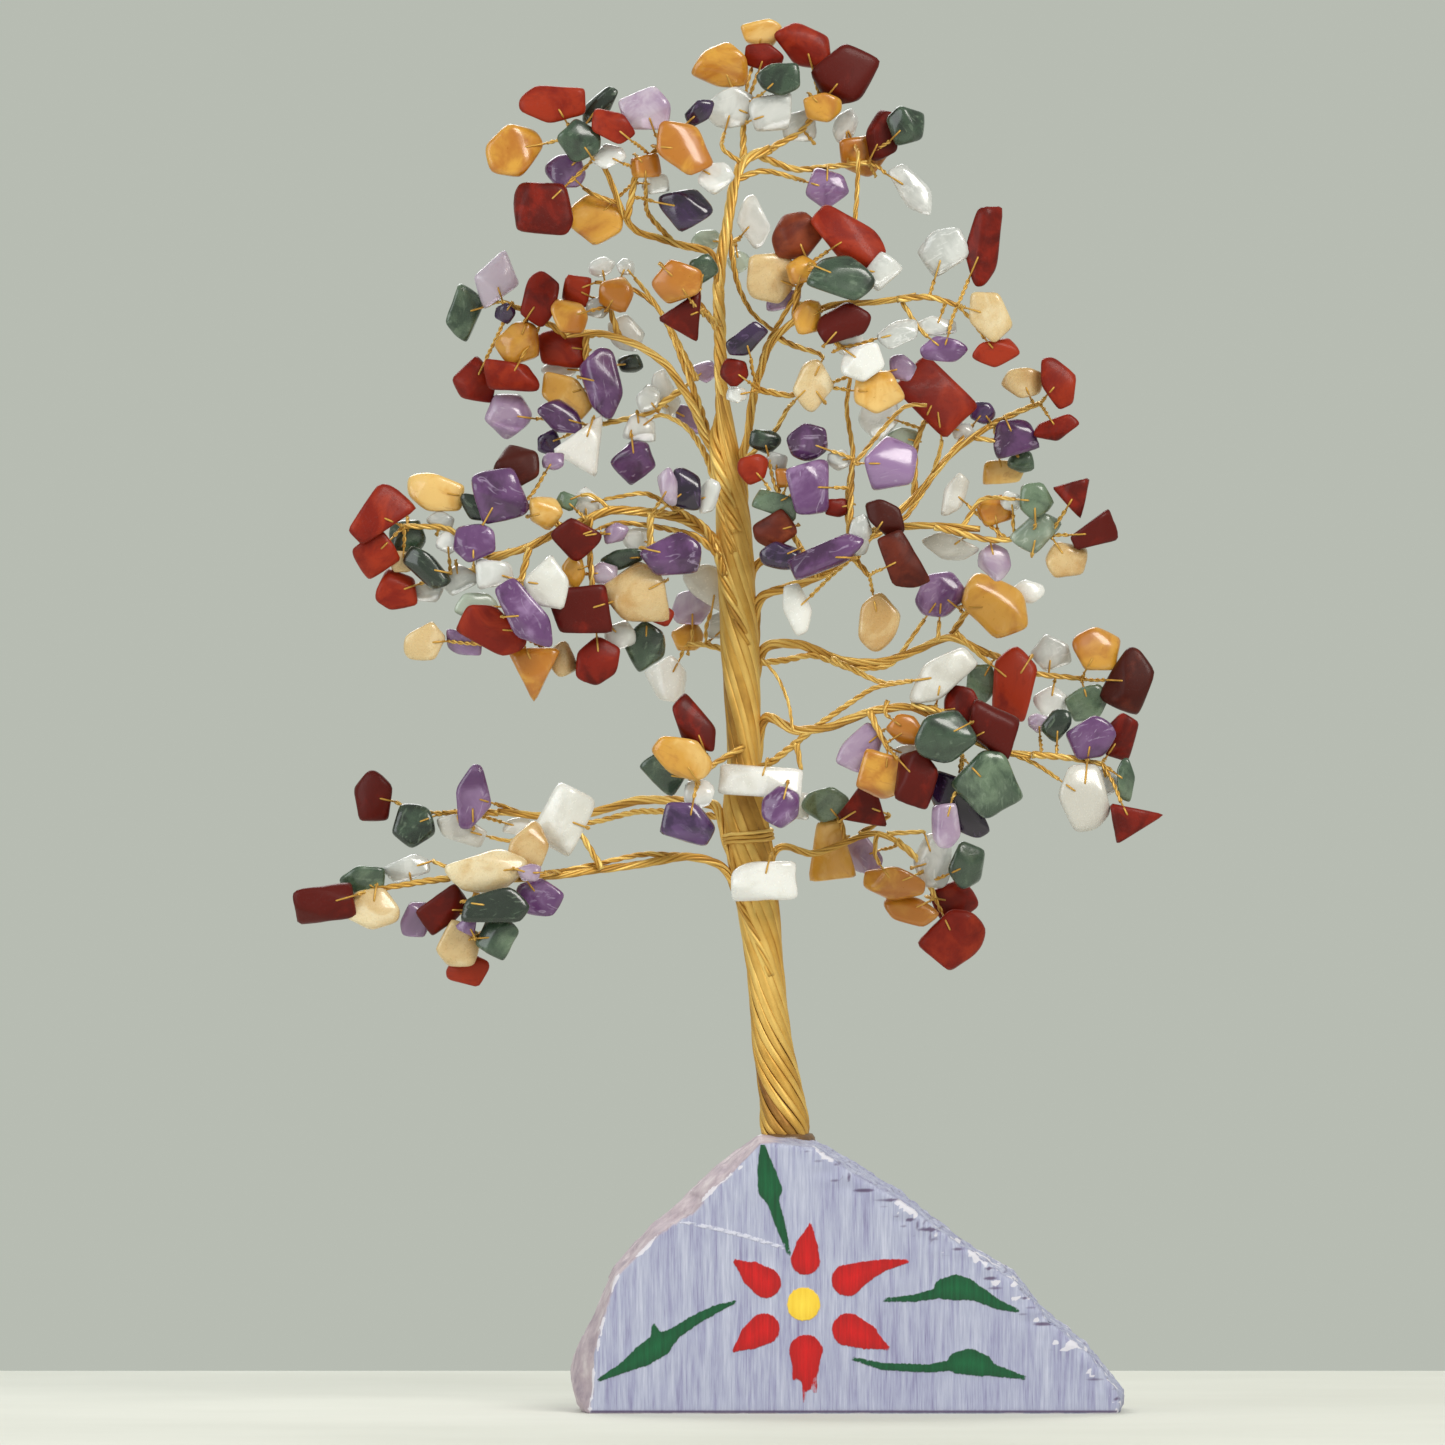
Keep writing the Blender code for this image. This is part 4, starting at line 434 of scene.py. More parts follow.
        (PLUM, -5.5, 184, 18, 6, 25), (RUST, 7.5, 192.5, 10, 6.5, -50), (RUST, 11, 183.5, 13, 7, -65)]),
    "right_middle": ("right_column", -18, [(18, 190.5), (30, 187.4), (43, 188.5)], [
        (MILK, 22.5, 197.5, 10, 4.5, 70), (MILK, 21.5, 186, 12, 5, -10), (LILAC, 31, 183, 8, 7, -60),
        (GOLD, 31, 194, 7.5, 6.5, 0), (CLEAR, 34.5, 196, 5, 4, 0), (MINT, 40, 189.5, 10, 7, 45),
        (CREAM, 46.5, 183.3, 9, 7, 10), (RED, 52.3, 189, 9.5, 6, 25, "drop"), (MOSS, 39.5, 196, 8, 7, 90),
        (RED, 48, 197.3, 8.5, 7.5, -75, "tri")]),
    "right_long_near": ("right_long", 16, [(14, 196.5), (14, 207), (16, 213)], [
        (MINT, 11.5, 209.5, 6.5, 4.5, 0), (CLEAR, 24.5, 211, 5, 4, 0), (CLEAR, 6.5, 214.5, 9.5, 7.5, 20),
        (RED, 18.5, 218.5, 15, 10, -45, "brick")]),
    "right_long_end": ("right_long", 17, [(30, 212), (36, 215), (41, 217)], [
        (GOLD, 33, 202, 9.5, 5, 10), (MOSS, 37, 204.5, 5.5, 5, 0), (INK, 28.8, 215, 5.5, 5, 0),
        (PLUM, 35.5, 209.5, 9.5, 7.5, 20), (RED, 44.5, 211.8, 10, 4.5, 15),
        (CREAM, 37.5, 221.7, 9.5, 6.5, 0), (RED, 45, 221.5, 11.5, 6.5, -70)]),
    "right_lower_high": ("right_lower", 17, [(22, 167), (26, 173)], [
        (MILK, 38.5, 176.3, 7.5, 5, 0), (PLUM, 19.8, 175.6, 11, 9, 30),
        (GOLD, 31.5, 173, 16, 10.5, -45)]),
    "right_lower_end": ("right_lower", 18, [(30, 163), (40, 158.5), (50, 157.5)], [
        (MOSS, 28.3, 156.5, 9.5, 6.5, 90), (CLEAR, 43.5, 163, 8.5, 7, 20),
        (CLEAR, 43.5, 152.5, 7.5, 6, 0), (MOSS, 51.5, 152.3, 9, 7, 20), (RED, 35.5, 156.5, 16, 9.5, 80),
        (GOLD, 53.3, 163.6, 10.5, 9, -20), (RUST, 61, 157, 14, 8.5, 85)]),
    "low_right_near": ("low_right", -20, [(4, 151), (6, 146.5), (8, 143)], [
        (LILAC, 2.2, 142.6, 11.5, 8, 50), (CLEAR, 11.8, 141.6, 5, 4, 0), (GOLD, 12, 146.8, 8, 6.5, -40),
        (GOLD, 7.6, 137, 12, 9.5, -15), (RED, 14, 136.5, 13.5, 8, 85)]),
    "low_right_heart": ("low_right", -22, [(13, 152), (20, 151), (24, 141)], [
        (MILK, 19.5, 158.3, 16.5, 7, 38), (RED, 24, 151.6, 9.5, 8, 80),
        (INK, 22.8, 131, 17, 8.5, -55), (RED, 30.3, 147.3, 11, 9, -20),
        (LILAC, 20.4, 126.5, 9.5, 6.5, 90), (MOSS, 29.6, 135, 14, 10.5, 85),
        (MOSS, 20, 145.6, 12.5, 11, 20)]),
    "low_right_end": ("low_right", -20, [(39, 141.5), (46, 141), (54, 139.5)], [
        (LILAC, 40.5, 148.3, 5, 4, 0), (RED, 58, 145.5, 10, 6.5, 75), (MOSS, 44.5, 148, 7, 5.5, 60),
        (CLEAR, 55, 135.5, 6, 5, 90), (PLUM, 51.6, 145, 10, 9, 30), (MOSS, 59, 136, 9, 3.8, 90),
        (MILK, 50, 132.5, 15.5, 11, -80), (RED, 60, 127.4, 11.5, 8, 10, "tri")]),
    "droop_left": ("droop", 13, [(-1, 122), (-2, 127)], [
        (CLEAR, -10.5, 130, 6, 4.5, 80), (GOLD, -4.2, 120.5, 12, 9, -85, "drop"),
        (MOSS, -5.2, 130.6, 10.5, 7, 0), (RED, 3.2, 130.2, 11.5, 10, 80, "tri")]),
    "droop_right": ("droop", 17, [(10, 122.5), (15, 118.5), (18.5, 110)], [
        (LILAC, 3.2, 119.2, 9, 6, -50), (RED, 22.8, 109.2, 9, 8, 20), (CLEAR, 18.2, 118, 11.5, 8, 80),
        (RED, 22.6, 101.2, 13, 11, 40), (GOLD, 13, 107.5, 12.5, 6.5, -15),
        (GOLD, 9.5, 113.2, 13, 6.5, -8), (MOSS, 25.4, 117.2, 10, 6.5, 85)]),
    "trunk_stub": ("trunk", 13, [(-24, 163), (-31, 165), (-35, 165)], [
        (MILK, -39, 157.5, 10, 7.5, 85), (CLEAR, -26.5, 169, 9, 6.5, 10), (GOLD, -35, 166.5, 7, 5.5, 20),
        (LILAC, -34, 173, 9, 7.5, 30), (MILK, -29, 177.5, 15, 8, -25)]),
    "trunk_left": ("trunk", -12, [(-23, 143), (-30, 139), (-33, 136)], [
        (CLEAR, -32.6, 133, 7, 6, 10), (MOSS, -40.3, 137.2, 10, 5.5, -30),
        (RED, -33.5, 147.8, 14.5, 6.5, -55), (GOLD, -36.2, 140.8, 13, 8.5, -30),
        (INK, -34.6, 126.8, 13, 8, -28)]),
}

# Stones tied straight to the trunk: name, kind, x, z, length, width, tilt, shape, and their middle's y
TRUNK_STONES = [
    ("upper_trunk_stone", MILK, -19.3, 135.6, 18, 6.8, -4, "brick", -9.6),
    ("side_trunk_stone", PLUM, -14.8, 130.2, 9.3, 8.4, 50, "oval", -14.6),
    ("lower_trunk_stone", MILK, -18.6, 114.2, 14.2, 8.6, 2, "brick", -10.2),
]

# The block's outline, x and z in mm, on its painted face, at its widest and at its back, point for point
FACE_OUTLINE = [
    (-56.5, 0), (-54.6, 7), (-55.5, 12), (-54, 18), (-50.5, 29.5), (-41.5, 38.5), (-33, 43), (-25.5, 52),
    (-19.4, 58.5), (-8, 57), (0.3, 52), (11.5, 45), (23, 36), (34.5, 29), (41, 20.8), (50.4, 13.4),
    (58, 4), (57.6, 0),
]
WIDE_OUTLINE = [
    (-58, 0), (-60, 6.5), (-58.8, 12.7), (-55.5, 20), (-50.7, 31), (-42.5, 40), (-34, 47.5), (-26.5, 54),
    (-19.4, 59.5), (-7.7, 58), (1, 53), (12, 46), (23.5, 37), (35, 30), (41.5, 21.7), (51, 14),
    (59, 4), (58.3, 0),
]
BACK_OUTLINE = [
    (-52, 0), (-54, 8), (-53, 14), (-49, 21), (-44, 30), (-37, 38), (-30, 44), (-24, 50),
    (-18, 54), (-8, 53), (0, 48), (10, 41), (21, 33), (31, 26), (38, 19), (46, 12), (53, 5), (52, 0),
]
WIDE_FRONT, WIDE_BACK = -11.0, 9.0      # the block keeps its full outline between these, mm along Y


# ---- where the stones and their wires lie ----


def stone_thickness(width):
    """A chip is a little flatter than it is wide, and never thinner than its drilled hole needs."""
    return 1.3 + 0.46 * width


def own_values(stone):
    """A stone's row of the table, with its whole size, and with its shape filled in."""
    kind, x, z, length, width, tilt, *form = stone
    return (kind, x, z, length * STONE_GROWTH, width * STONE_GROWTH, tilt, form[0] if form else "oval")


def limb_route(limb):
    """A limb's or the trunk's centre line as (x, z, y) in mm, with closely spaced points."""
    points = [(x, z, 0.0) for x, z, _ in TRUNK] if limb == "trunk" else LIMBS[limb][2]
    route = []
    for start, end in zip(points, points[1:]):
        steps = max(1, math.ceil(math.dist(start, end) / ROUTE_STEP))
        for step in range(steps):
            share = step / steps
            route.append(tuple(a + (b - a) * share for a, b in zip(start, end)))
    return route + [tuple(points[-1])]


def reach_towards(half_length, half_width, tilt, angle):
    """How far an ellipse reaches from its middle in a direction."""
    turned = angle - tilt
    across = np.sqrt((half_width * np.cos(turned)) ** 2 + (half_length * np.sin(turned)) ** 2)
    return half_length * half_width / across


def needed_depths(apart, reach, half_depths, gap):
    """How far apart along Y two round things have to lie, where one is seen in front of the other."""
    share = np.clip(apart / reach, 0, 1)
    return np.where(share < 1, half_depths * np.sqrt(1 - share**2) + gap, 0)


def wire_beads():
    """Every limb as beads along its middle: rows of x, z, y, radius and the owner's number, -1."""
    beads = []
    for limb in LIMBS:
        beads += [(*point, LIMBS[limb][1], -1) for point in limb_route(limb)]
    return beads


def settle_depths(beads, settled=None):
    """Works out each stone's depth, as {spray: [y of each stone in mm]}.

    A stone starts from its spray's depth, in the listed order, and is then pushed along Y until it lies
    in no other stone and in no bead of wire.
    """
    owners, rows, low, high, y = [], [], [], [], []
    for number, (spray, (_, depth, _, stones)) in enumerate(SPRAYS.items()):
        layer = FRONT_LAYER if depth < 0 else BACK_LAYER
        for place, stone in enumerate(stones):
            values = own_values(stone)
            half_depth = stone_thickness(values[4]) / 2
            owners.append(number)
            rows.append((*values[1:6], half_depth))
            low.append(layer[0] + half_depth)
            high.append(layer[1] - half_depth)
            middle = depth + LISTED_STEP * ((len(stones) - 1) / 2 - place)
            y.append(settled[spray][place] if settled else middle)
    x, z, length, width, tilt, half_depth = np.array(rows, float).T[:, :, None]
    low, high, y, owners = (np.array(values)[:, None] for values in (low, high, y, owners))
    tilt = np.radians(tilt)
    reach = reach_towards(length / 2, width / 2, tilt, np.arctan2(z.T - z, x.T - x))
    apart = np.hypot(x - x.T, z - z.T)
    needed = needed_depths(apart, reach + reach.T, half_depth + half_depth.T, STONE_GAP)
    np.fill_diagonal(needed, 0)
    bead_x, bead_z, bead_y, bead_radius, bead_owner = np.array(beads, float).T[:, None, :]
    reach = reach_towards(length / 2, width / 2, tilt, np.arctan2(bead_z - z, bead_x - x))
    apart = np.hypot(bead_x - x, bead_z - z)
    from_bead = needed_depths(apart, reach + bead_radius, half_depth + bead_radius, WIRE_GAP)
    from_bead = np.where(bead_owner == owners, 0, from_bead)
    order = np.sign(np.arange(len(y))[None, :] - np.arange(len(y))[:, None])
    for _ in range(SETTLING_ROUNDS):
        between = y - y.T
        side = np.where(np.abs(between) > SAME_DEPTH, np.sign(between), order)
        pushes = np.clip(needed - np.abs(between), 0, None) * side
        beside = y - bead_y
        away = np.clip(from_bead - np.abs(beside), 0, None) * np.where(beside < 0, -1, 1)
        strongest = np.take_along_axis(away, np.abs(away).argmax(axis=1)[:, None], axis=1)
        y = np.clip(y + STONE_PUSH * pushes.sum(axis=1, keepdims=True) + WIRE_PUSH * strongest, low, high)
    depths = iter(y[:, 0].tolist())
    return {spray: [next(depths) for _ in SPRAYS[spray][3]] for spray in SPRAYS}


def trunk_at(z, column):
    """The trunk's x (column 0) or radius (column 2) at a height."""
    return float(np.interp(z, [row[1] for row in TRUNK], [row[column] for row in TRUNK]))


def twig_route(limb, twig, depths):
    """A twig's points as (x, z, y), from beside its limb to the middle depth of its stones."""
    middle = sum(depths) / len(depths)
    start = min(limb_route(limb), key=lambda point: math.dist(point[:2], twig[0]))
    side = 1 if middle > start[2] else -1
    radius = trunk_at(start[1], 2) if limb == "trunk" else LIMBS[limb][1]
    first = start[2] + side * (radius + TWIG_RADIUS + GAP)
    route = []
    for index, (x, z) in enumerate(twig):
        share = min(1, index / max(1, len(twig) - 1) * TWIG_LEAD)
        route.append((x, z, first + (middle - first) * share))
    return route


def steps_between(start, end):
    """Points along a straight wire."""
    count = max(2, math.ceil(math.dist(start, end) / WIRE_STEP) + 1)
    return np.linspace(start, end, count)


def twig_beads(route, number):
    """A twig as beads, like a limb's."""
    return [(*point, TWIG_RADIUS, number)
            for start, end in zip(route, route[1:]) for point in steps_between(start, end)]


def crossing_depth(start, end, beads):
    """How deep a stem from start to end would lie in the beads."""
    along = steps_between(start, end)
    apart = np.linalg.norm(along[:, None, :] - beads[None, :, :3], axis=2)
    return float(np.clip(beads[None, :, 3] + STEM_RADIUS + GAP - apart, 0, None).max())


def stem_start(route, place, beads):
    """The point of a twig that a stone's own stem leaves from: near, and clear of other wires."""
    best, found = None, None
    for start, end in zip(route, route[1:]):
        for share in STEM_SHARES:
            point = tuple(a + (b - a) * share for a, b in zip(start, end))
            cost = math.dist(point, place) + CROSSING_COST * crossing_depth(point, place, beads)
            if best is None or cost < best:
                best, found = cost, point
    return found


def plan_wires(settled, beads):
    """The twig and the stems of each spray: {spray: (route, [stem start for each stone])}."""
    routes = {spray: twig_route(SPRAYS[spray][0], SPRAYS[spray][2], settled[spray]) for spray in SPRAYS}
    crowd = list(beads)
    for number, spray in enumerate(SPRAYS):
        crowd += twig_beads(routes[spray], number)
    for number, spray in enumerate(SPRAYS):
        for stone, y in zip(SPRAYS[spray][3], settled[spray]):
            crowd.append((stone[1], stone[2], y, stone_thickness(own_values(stone)[4]) / 2, number))
    crowd = np.array(crowd)
    wires = {}
    for number, spray in enumerate(SPRAYS):
        others = crowd[crowd[:, 4] != number]
        places = [(stone[1], stone[2], y) for stone, y in zip(SPRAYS[spray][3], settled[spray])]
        wires[spray] = (routes[spray], [stem_start(routes[spray], place, others) for place in places])
    return wires


def plan_tree():
    """Settles the stones and leads the wires to them, in turns, so that each makes room for the other."""
    limbs = wire_beads()
    settled = settle_depths(limbs)
    for _ in range(PLANNING_ROUNDS):
        wires = plan_wires(settled, limbs)
        beads = list(limbs)
        for number, spray in enumerate(SPRAYS):
            route, starts = wires[spray]
            beads += twig_beads(route, number)
            for stone, y, start in zip(SPRAYS[spray][3], settled[spray], starts):
                stem = steps_between(start, (stone[1], stone[2], y))
                beads += [(*point, STEM_RADIUS, number) for point in stem]
        settled = settle_depths(beads, settled)
    return settled, plan_wires(settled, limbs)


def facets_of(seed, form):
    """The planes that a chip is ground to, as (normal, distance), in halves of its own sizes."""
    draw = random.Random(seed)
    planes = []
    if form == "tri":
        corners = [(math.radians(turn), 0.62) for turn in (60, 180, 300)]
        planes += [((math.cos(turn), 0, math.sin(turn)), distance) for turn, distance in corners]
    elif form == "brick":
        planes += [((side, 0, 0), 1.0) for side in (1, -1)]
        planes += [((0, 0, side), 0.97) for side in (1, -1)]
    elif form == "drop":
        planes += [((-0.3, 0, side * 0.95), 0.78) for side in (1, -1)]
        planes += [((side, 0, 0), 1.0) for side in (1, -1)]
    else:
        planes += [((side, 0, 0), 1.0) for side in (1, -1)]
        start = draw.uniform(0, math.tau)
        sides = draw.choice((4, 5, 5, 6))
        for step in range(sides):
            turn = start + step * math.tau / sides + draw.uniform(-0.3, 0.3)
            planes.append(((math.cos(turn), 0, math.sin(turn)), draw.uniform(0.82, 1.0)))
    planes += [((draw.uniform(-0.25, 0.25), side, draw.uniform(-0.25, 0.25)), 1.0) for side in (1, -1)]
    for _ in range(5):
        turn, lift = draw.uniform(0, math.tau), draw.choice((-1, 1)) * draw.uniform(0.4, 0.9)
        flat = math.sqrt(1 - lift**2)
        planes.append(((flat * math.cos(turn), lift, flat * math.sin(turn)), draw.uniform(0.86, 1.05)))
    return planes


# ---- meshes from arrays ----


class Bits:
    """Vertices, triangles and per-vertex values that are gathered before one mesh is made of them."""

    def __init__(self):
        self.points, self.faces, self.grain, self.tone = [], [], [], []
        self.count = 0

    def add(self, points, faces, grain=None, tone=0.5):
        self.points.append(points)
        self.faces.append(faces + self.count)
        self.grain.append(points if grain is None else grain)
        self.tone.append(np.broadcast_to(tone, len(points)))
        self.count += len(points)


def split_quads(*corners):
    """Two triangles for each of the quads whose four corners are given as arrays of vertex numbers."""
    a, b, c, d = corners
    return np.vstack([np.stack(half, axis=-1).reshape(-1, 3) for half in ((a, b, c), (a, c, d))])


def add_object(name, data):
    """A new object in the scene."""
    made = bpy.data.objects.new(name, data)
    bpy.context.scene.collection.objects.link(made)
    return made


def store_values(mesh, name, values):
    """Keeps a number or a vector for each vertex under a name that the materials read."""
    kind, field = ("FLOAT", "value") if values.ndim == 1 else ("FLOAT_VECTOR", "vector")
    attribute = mesh.attributes.new(name, kind, "POINT")
    attribute.data.foreach_set(field, values.astype(np.float32).ravel())


def mesh_piece(name, bits, material, body=None):
    """One smooth mesh object from gathered bits (mm), with its grain and tone attributes."""
    points = np.concatenate(bits.points) * MM
    faces = np.concatenate(bits.faces).astype(np.int32)
    mesh = bpy.data.meshes.new(name)
    mesh.vertices.add(len(points))
    mesh.vertices.foreach_set("co", points.astype(np.float32).ravel())
    mesh.loops.add(faces.size)
    mesh.loops.foreach_set("vertex_index", faces.ravel())
    mesh.polygons.add(len(faces))
    mesh.polygons.foreach_set("loop_start", np.arange(0, faces.size, 3, dtype=np.int32))
    mesh.update(calc_edges=True)
    mesh.shade_smooth()
    store_values(mesh, "grain", np.concatenate(bits.grain))
    store_values(mesh, "tone", np.concatenate(bits.tone))
    made = add_object(name, mesh)
    mesh.materials.append(material)
    if body:
        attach(made, body)
    return made


# ---- wires ----


def as_xyz(points):
    """Rows of (x, z, y) as an array of (x, y, z)."""
    return np.array([(x, y, z) for x, z, y in points], float)


def lengths_along(points):
    """How far along the line through the points each of them lies."""
    return np.concatenate([[0], np.cumsum(np.linalg.norm(np.diff(points, axis=0), axis=1))])


def smooth_route(points, spacing, rounding=1.0):
    """Even steps along the line through the points (x, y, z), with its corners rounded over a length."""
    along = lengths_along(points)
    even = np.linspace(0, along[-1], max(4, round(along[-1] / spacing) + 1))
    route = np.column_stack([np.interp(even, along, points[:, axis]) for axis in range(3)])
    for _ in range(round(2 * (rounding / even[1]) ** 2)):
        route[1:-1] = (route[:-2] + 2 * route[1:-1] + route[2:]) / 4
    return route


def frames_along(route):
    """Two directions across the route at each point, carried along it without twisting."""
    tangents = np.gradient(route, axis=0)
    tangents /= np.linalg.norm(tangents, axis=1)[:, None]
    start = np.cross(tangents[0], (0.0, 1.0, 0.0))
    if np.linalg.norm(start) < 0.1:
        start = np.cross(tangents[0], (1.0, 0.0, 0.0))
    across = [start / np.linalg.norm(start)]
    for tangent in tangents[1:]:
        carried = across[-1] - tangent * np.dot(across[-1], tangent)
        across.append(carried / np.linalg.norm(carried))
    across = np.array(across)
    return across, np.cross(tangents, across)


def add_tube(bits, centres, across, upward, radii, sides, tone, outward=None):
    """A closed tube through the centres, or a flat band that faces outward.

    Its grain runs along it, like the marks of the drawing die.
    """
    angles = np.arange(sides) * math.tau / sides
    ring = np.cos(angles)[:, None] * across[:, None, :] + np.sin(angles)[:, None] * upward[:, None, :]
    if outward is not None:
        height = (ring * outward[:, None, :]).sum(axis=2, keepdims=True)
        ring = ring - outward[:, None, :] * height * BAND_FLATNESS
    points = centres[:, None, :] + ring * radii[:, None, None]
    along = lengths_along(centres)
    grain = np.empty_like(points)
    grain[:, :, 0] = radii[:, None] * np.cos(angles) + centres[0, 0]
    grain[:, :, 1] = radii[:, None] * np.sin(angles) + float(np.mean(tone)) * 40
    grain[:, :, 2] = along[:, None] + centres[0, 2]
    count = len(centres)
    index = np.arange(count * sides).reshape(count, sides)
    near, far = index[:-1], index[1:]
    walls = split_quads(near, np.roll(near, -1, axis=1), np.roll(far, -1, axis=1), far)
    caps = [(0, side + 1, side) for side in range(1, sides - 1)]
    last = (count - 1) * sides
    caps += [(last, last + side, last + side + 1) for side in range(1, sides - 1)]
    tones = np.repeat(np.broadcast_to(tone, count), sides)
    bits.add(points.reshape(-1, 3), np.vstack([walls, np.array(caps)]), grain.reshape(-1, 3), tones)


def add_wire(bits, route, radii, sides, tone):
    """One plain wire along a route."""
    across, upward = frames_along(route)
    add_tube(bits, route, across, upward, np.broadcast_to(radii, len(route)), sides, tone)


def add_rope(bits, route, radius, strands, turn_rate, phase=0.0, sides=6, draw=None, uneven=0.06,
             darkening=None):
    """Strands laid round a route. radius is the whole rope's and turn_rate is in radians per mm.

    The last argument makes them darker along the route and narrows them, so that more of the painted shade
    behind them shows; it also makes them flat bands.
    """
    across, upward = frames_along(route)
    along = lengths_along(route)
    radius = np.broadcast_to(np.asarray(radius, float), along.shape)
    rates = np.broadcast_to(np.asarray(turn_rate, float), along.shape)
    turned = phase + np.concatenate([[0], np.cumsum(rates[1:] * np.diff(along))])
    spread = math.sin(math.pi / strands)
    strand_radius = radius * spread / (1 + spread)
    for strand in range(strands):
        angle = turned + math.tau * strand / strands
        reach, thickness, tone = radius - strand_radius, strand_radius * FULLNESS, 0.5
        if draw:
            reach = reach * draw.uniform(1 - uneven, 1 + uneven / 2)
            thickness = thickness * draw.uniform(1 - 2 * uneven, 1 + 2 * uneven)
            angle = angle + 0.3 * np.sin(along * draw.uniform(0.12, 0.3) + draw.uniform(0, 6)) / strands
            tone = draw.random()
        offset = np.cos(angle)[:, None] * across + np.sin(angle)[:, None] * upward
        if darkening is None:
            add_tube(bits, route + offset * reach[:, None], across, upward, thickness, sides, tone)
        else:
            # Narrower strands lower down show more of the painted shade of the core between them
            width = radius * math.pi / strands * draw.uniform(0.85, 1.2) * (1 - 0.16 * darkening)
            lift = radius * draw.uniform(0.97, 1.03) - width * (1 - BAND_FLATNESS)
            centres = route + offset * lift[:, None]
            tone = tone - 0.3 * darkening * draw.random()
            add_tube(bits, centres, across, upward, width, sides, tone, offset)


# ---- stones ----


def sphere_grid(levels):
    """The directions and the triangles of an icosphere."""
    shape = bmesh.new()
    bmesh.ops.create_icosphere(shape, subdivisions=levels, radius=1)
    directions = np.array([vertex.co[:] for vertex in shape.verts])
    faces = np.array([[vertex.index for vertex in face.verts] for face in shape.faces])
    shape.free()
    return directions, faces


def ground_radii(directions, planes, sharpness):
    """How far the ground surface lies from the middle in each direction."""
    normals = np.array([normal for normal, _ in planes])
    distances = np.array([distance for _, distance in planes])
    facing = np.clip(directions @ normals.T / distances, 0, None)
    return (facing**sharpness).sum(axis=1) ** (-1 / sharpness)


def lumps(points, size, seed):
    """Gentle unevenness: a few waves in seeded directions, from -1 to 1."""
    draw = random.Random(seed)
    total = np.zeros(len(points))
    for _ in range(LUMP_WAVES):
        heading = np.array([draw.gauss(0, 1) for _ in range(3)])
        heading /= np.linalg.norm(heading)
        total += np.sin(points @ heading * math.tau / (size * draw.uniform(0.6, 1.5)) + draw.uniform(0, 6))
    return total / LUMP_WAVES


class Stone:
    """One chip: where it lies, how it is ground, and the surface that its wire has to follow."""

    def __init__(self, row, y, seed):
        self.kind, x, z, self.length, width, tilt, form = row
        self.middle = np.array((x, y, z))
        self.half = np.array((self.length / 2, stone_thickness(width) / 2, width / 2))
        self.planes = facets_of(seed, form)
        self.seed = seed
        cosine, sine = math.cos(math.radians(tilt)), math.sin(math.radians(tilt))
        self.axes = np.array(((cosine, 0, sine), (0, 1, 0), (-sine, 0, cosine)))

    def reach(self, direction):
        """How far the surface lies from the middle along a direction of the row's frame."""
        local = self.axes @ direction / self.half
        size = np.linalg.norm(local)
        return float(ground_radii((local / size)[None, :], self.planes, SHARPNESS)[0] / size)

    def surface_depth(self, place, side):
        """The y of the surface over a place, on the front (side -1) or the back (side 1)."""
        local = self.axes @ (place - self.middle)
        low, high = 0.0, self.half[1] * 1.3
        for _ in range(14):
            middle = (low + high) / 2
            local[1] = side * middle
            scaled = local / self.half
            size = np.linalg.norm(scaled)
            inside = size < ground_radii((scaled / size)[None, :], self.planes, SHARPNESS)[0]
            low, high = (middle, high) if inside else (low, middle)
        return self.middle[1] + side * low

    def add_to(self, bits, grid):
        """Adds the chip's surface: its ground planes, gently uneven, with grain and tone of its own."""
        directions, faces = grid
        radii = ground_radii(directions, self.planes, SHARPNESS)
        local = directions * radii[:, None] * self.half
        swell = 1 + LUMP_SHARE * lumps(local, self.length * 0.5, self.seed + " lumps")
        swell += FINE_SHARE * lumps(local, FINE_SIZE, self.seed + " fine")
        local = local * swell[:, None]
        draw = random.Random(self.seed + " tone")
        shift = np.array([draw.uniform(0, 90) for _ in range(3)])
        bits.add(local @ self.axes + self.middle, faces, grain=local + shift, tone=draw.random())


def edge_towards(stone, place):
    """Where a stem from a place ends: just short of the chip's edge."""
    back = (place - stone.middle) * (1, 0, 1)
    length = np.linalg.norm(back)
    flat = back / length if length > 0.5 else np.array((0.0, 0.0, -1.0))
    return stone.middle + flat * (stone.reach(flat) + TWIST_SHORT)


def add_loop(bits, stone, twist_end):
    """The wire's two ends that hug a chip: from the twist, over its edge, to its drilled hole."""
    flat = (stone.middle - twist_end) * (1, 0, 1)
    flat = flat / max(np.linalg.norm(flat), 0.01)
    edge_reach = stone.reach(-flat)
    mouth = stone.middle - flat * edge_reach * HOLE_FROM_MIDDLE
    edge = stone.middle - flat * (edge_reach + LOOP_RADIUS)
    for side in (-1, 1):
        surface = stone.surface_depth(mouth, side)
        over = np.array((mouth[0], surface + side * LOOP_RADIUS * 0.6, mouth[2]))
        outside = mouth * 0.45 + edge * 0.55
        outside[1] = stone.surface_depth(outside, side) + side * LOOP_RADIUS
        corner = np.array((edge[0], stone.middle[1] + side * stone.half[1] * 0.45, edge[2]))
        inside = np.array((mouth[0], surface - side * 1.0, mouth[2])) + flat * 0.5
        route = smooth_route(np.array([twist_end, corner, outside, over, inside]), 0.35, 0.3)
        add_wire(bits, route, LOOP_RADIUS, 6, 0.5 + 0.2 * side)


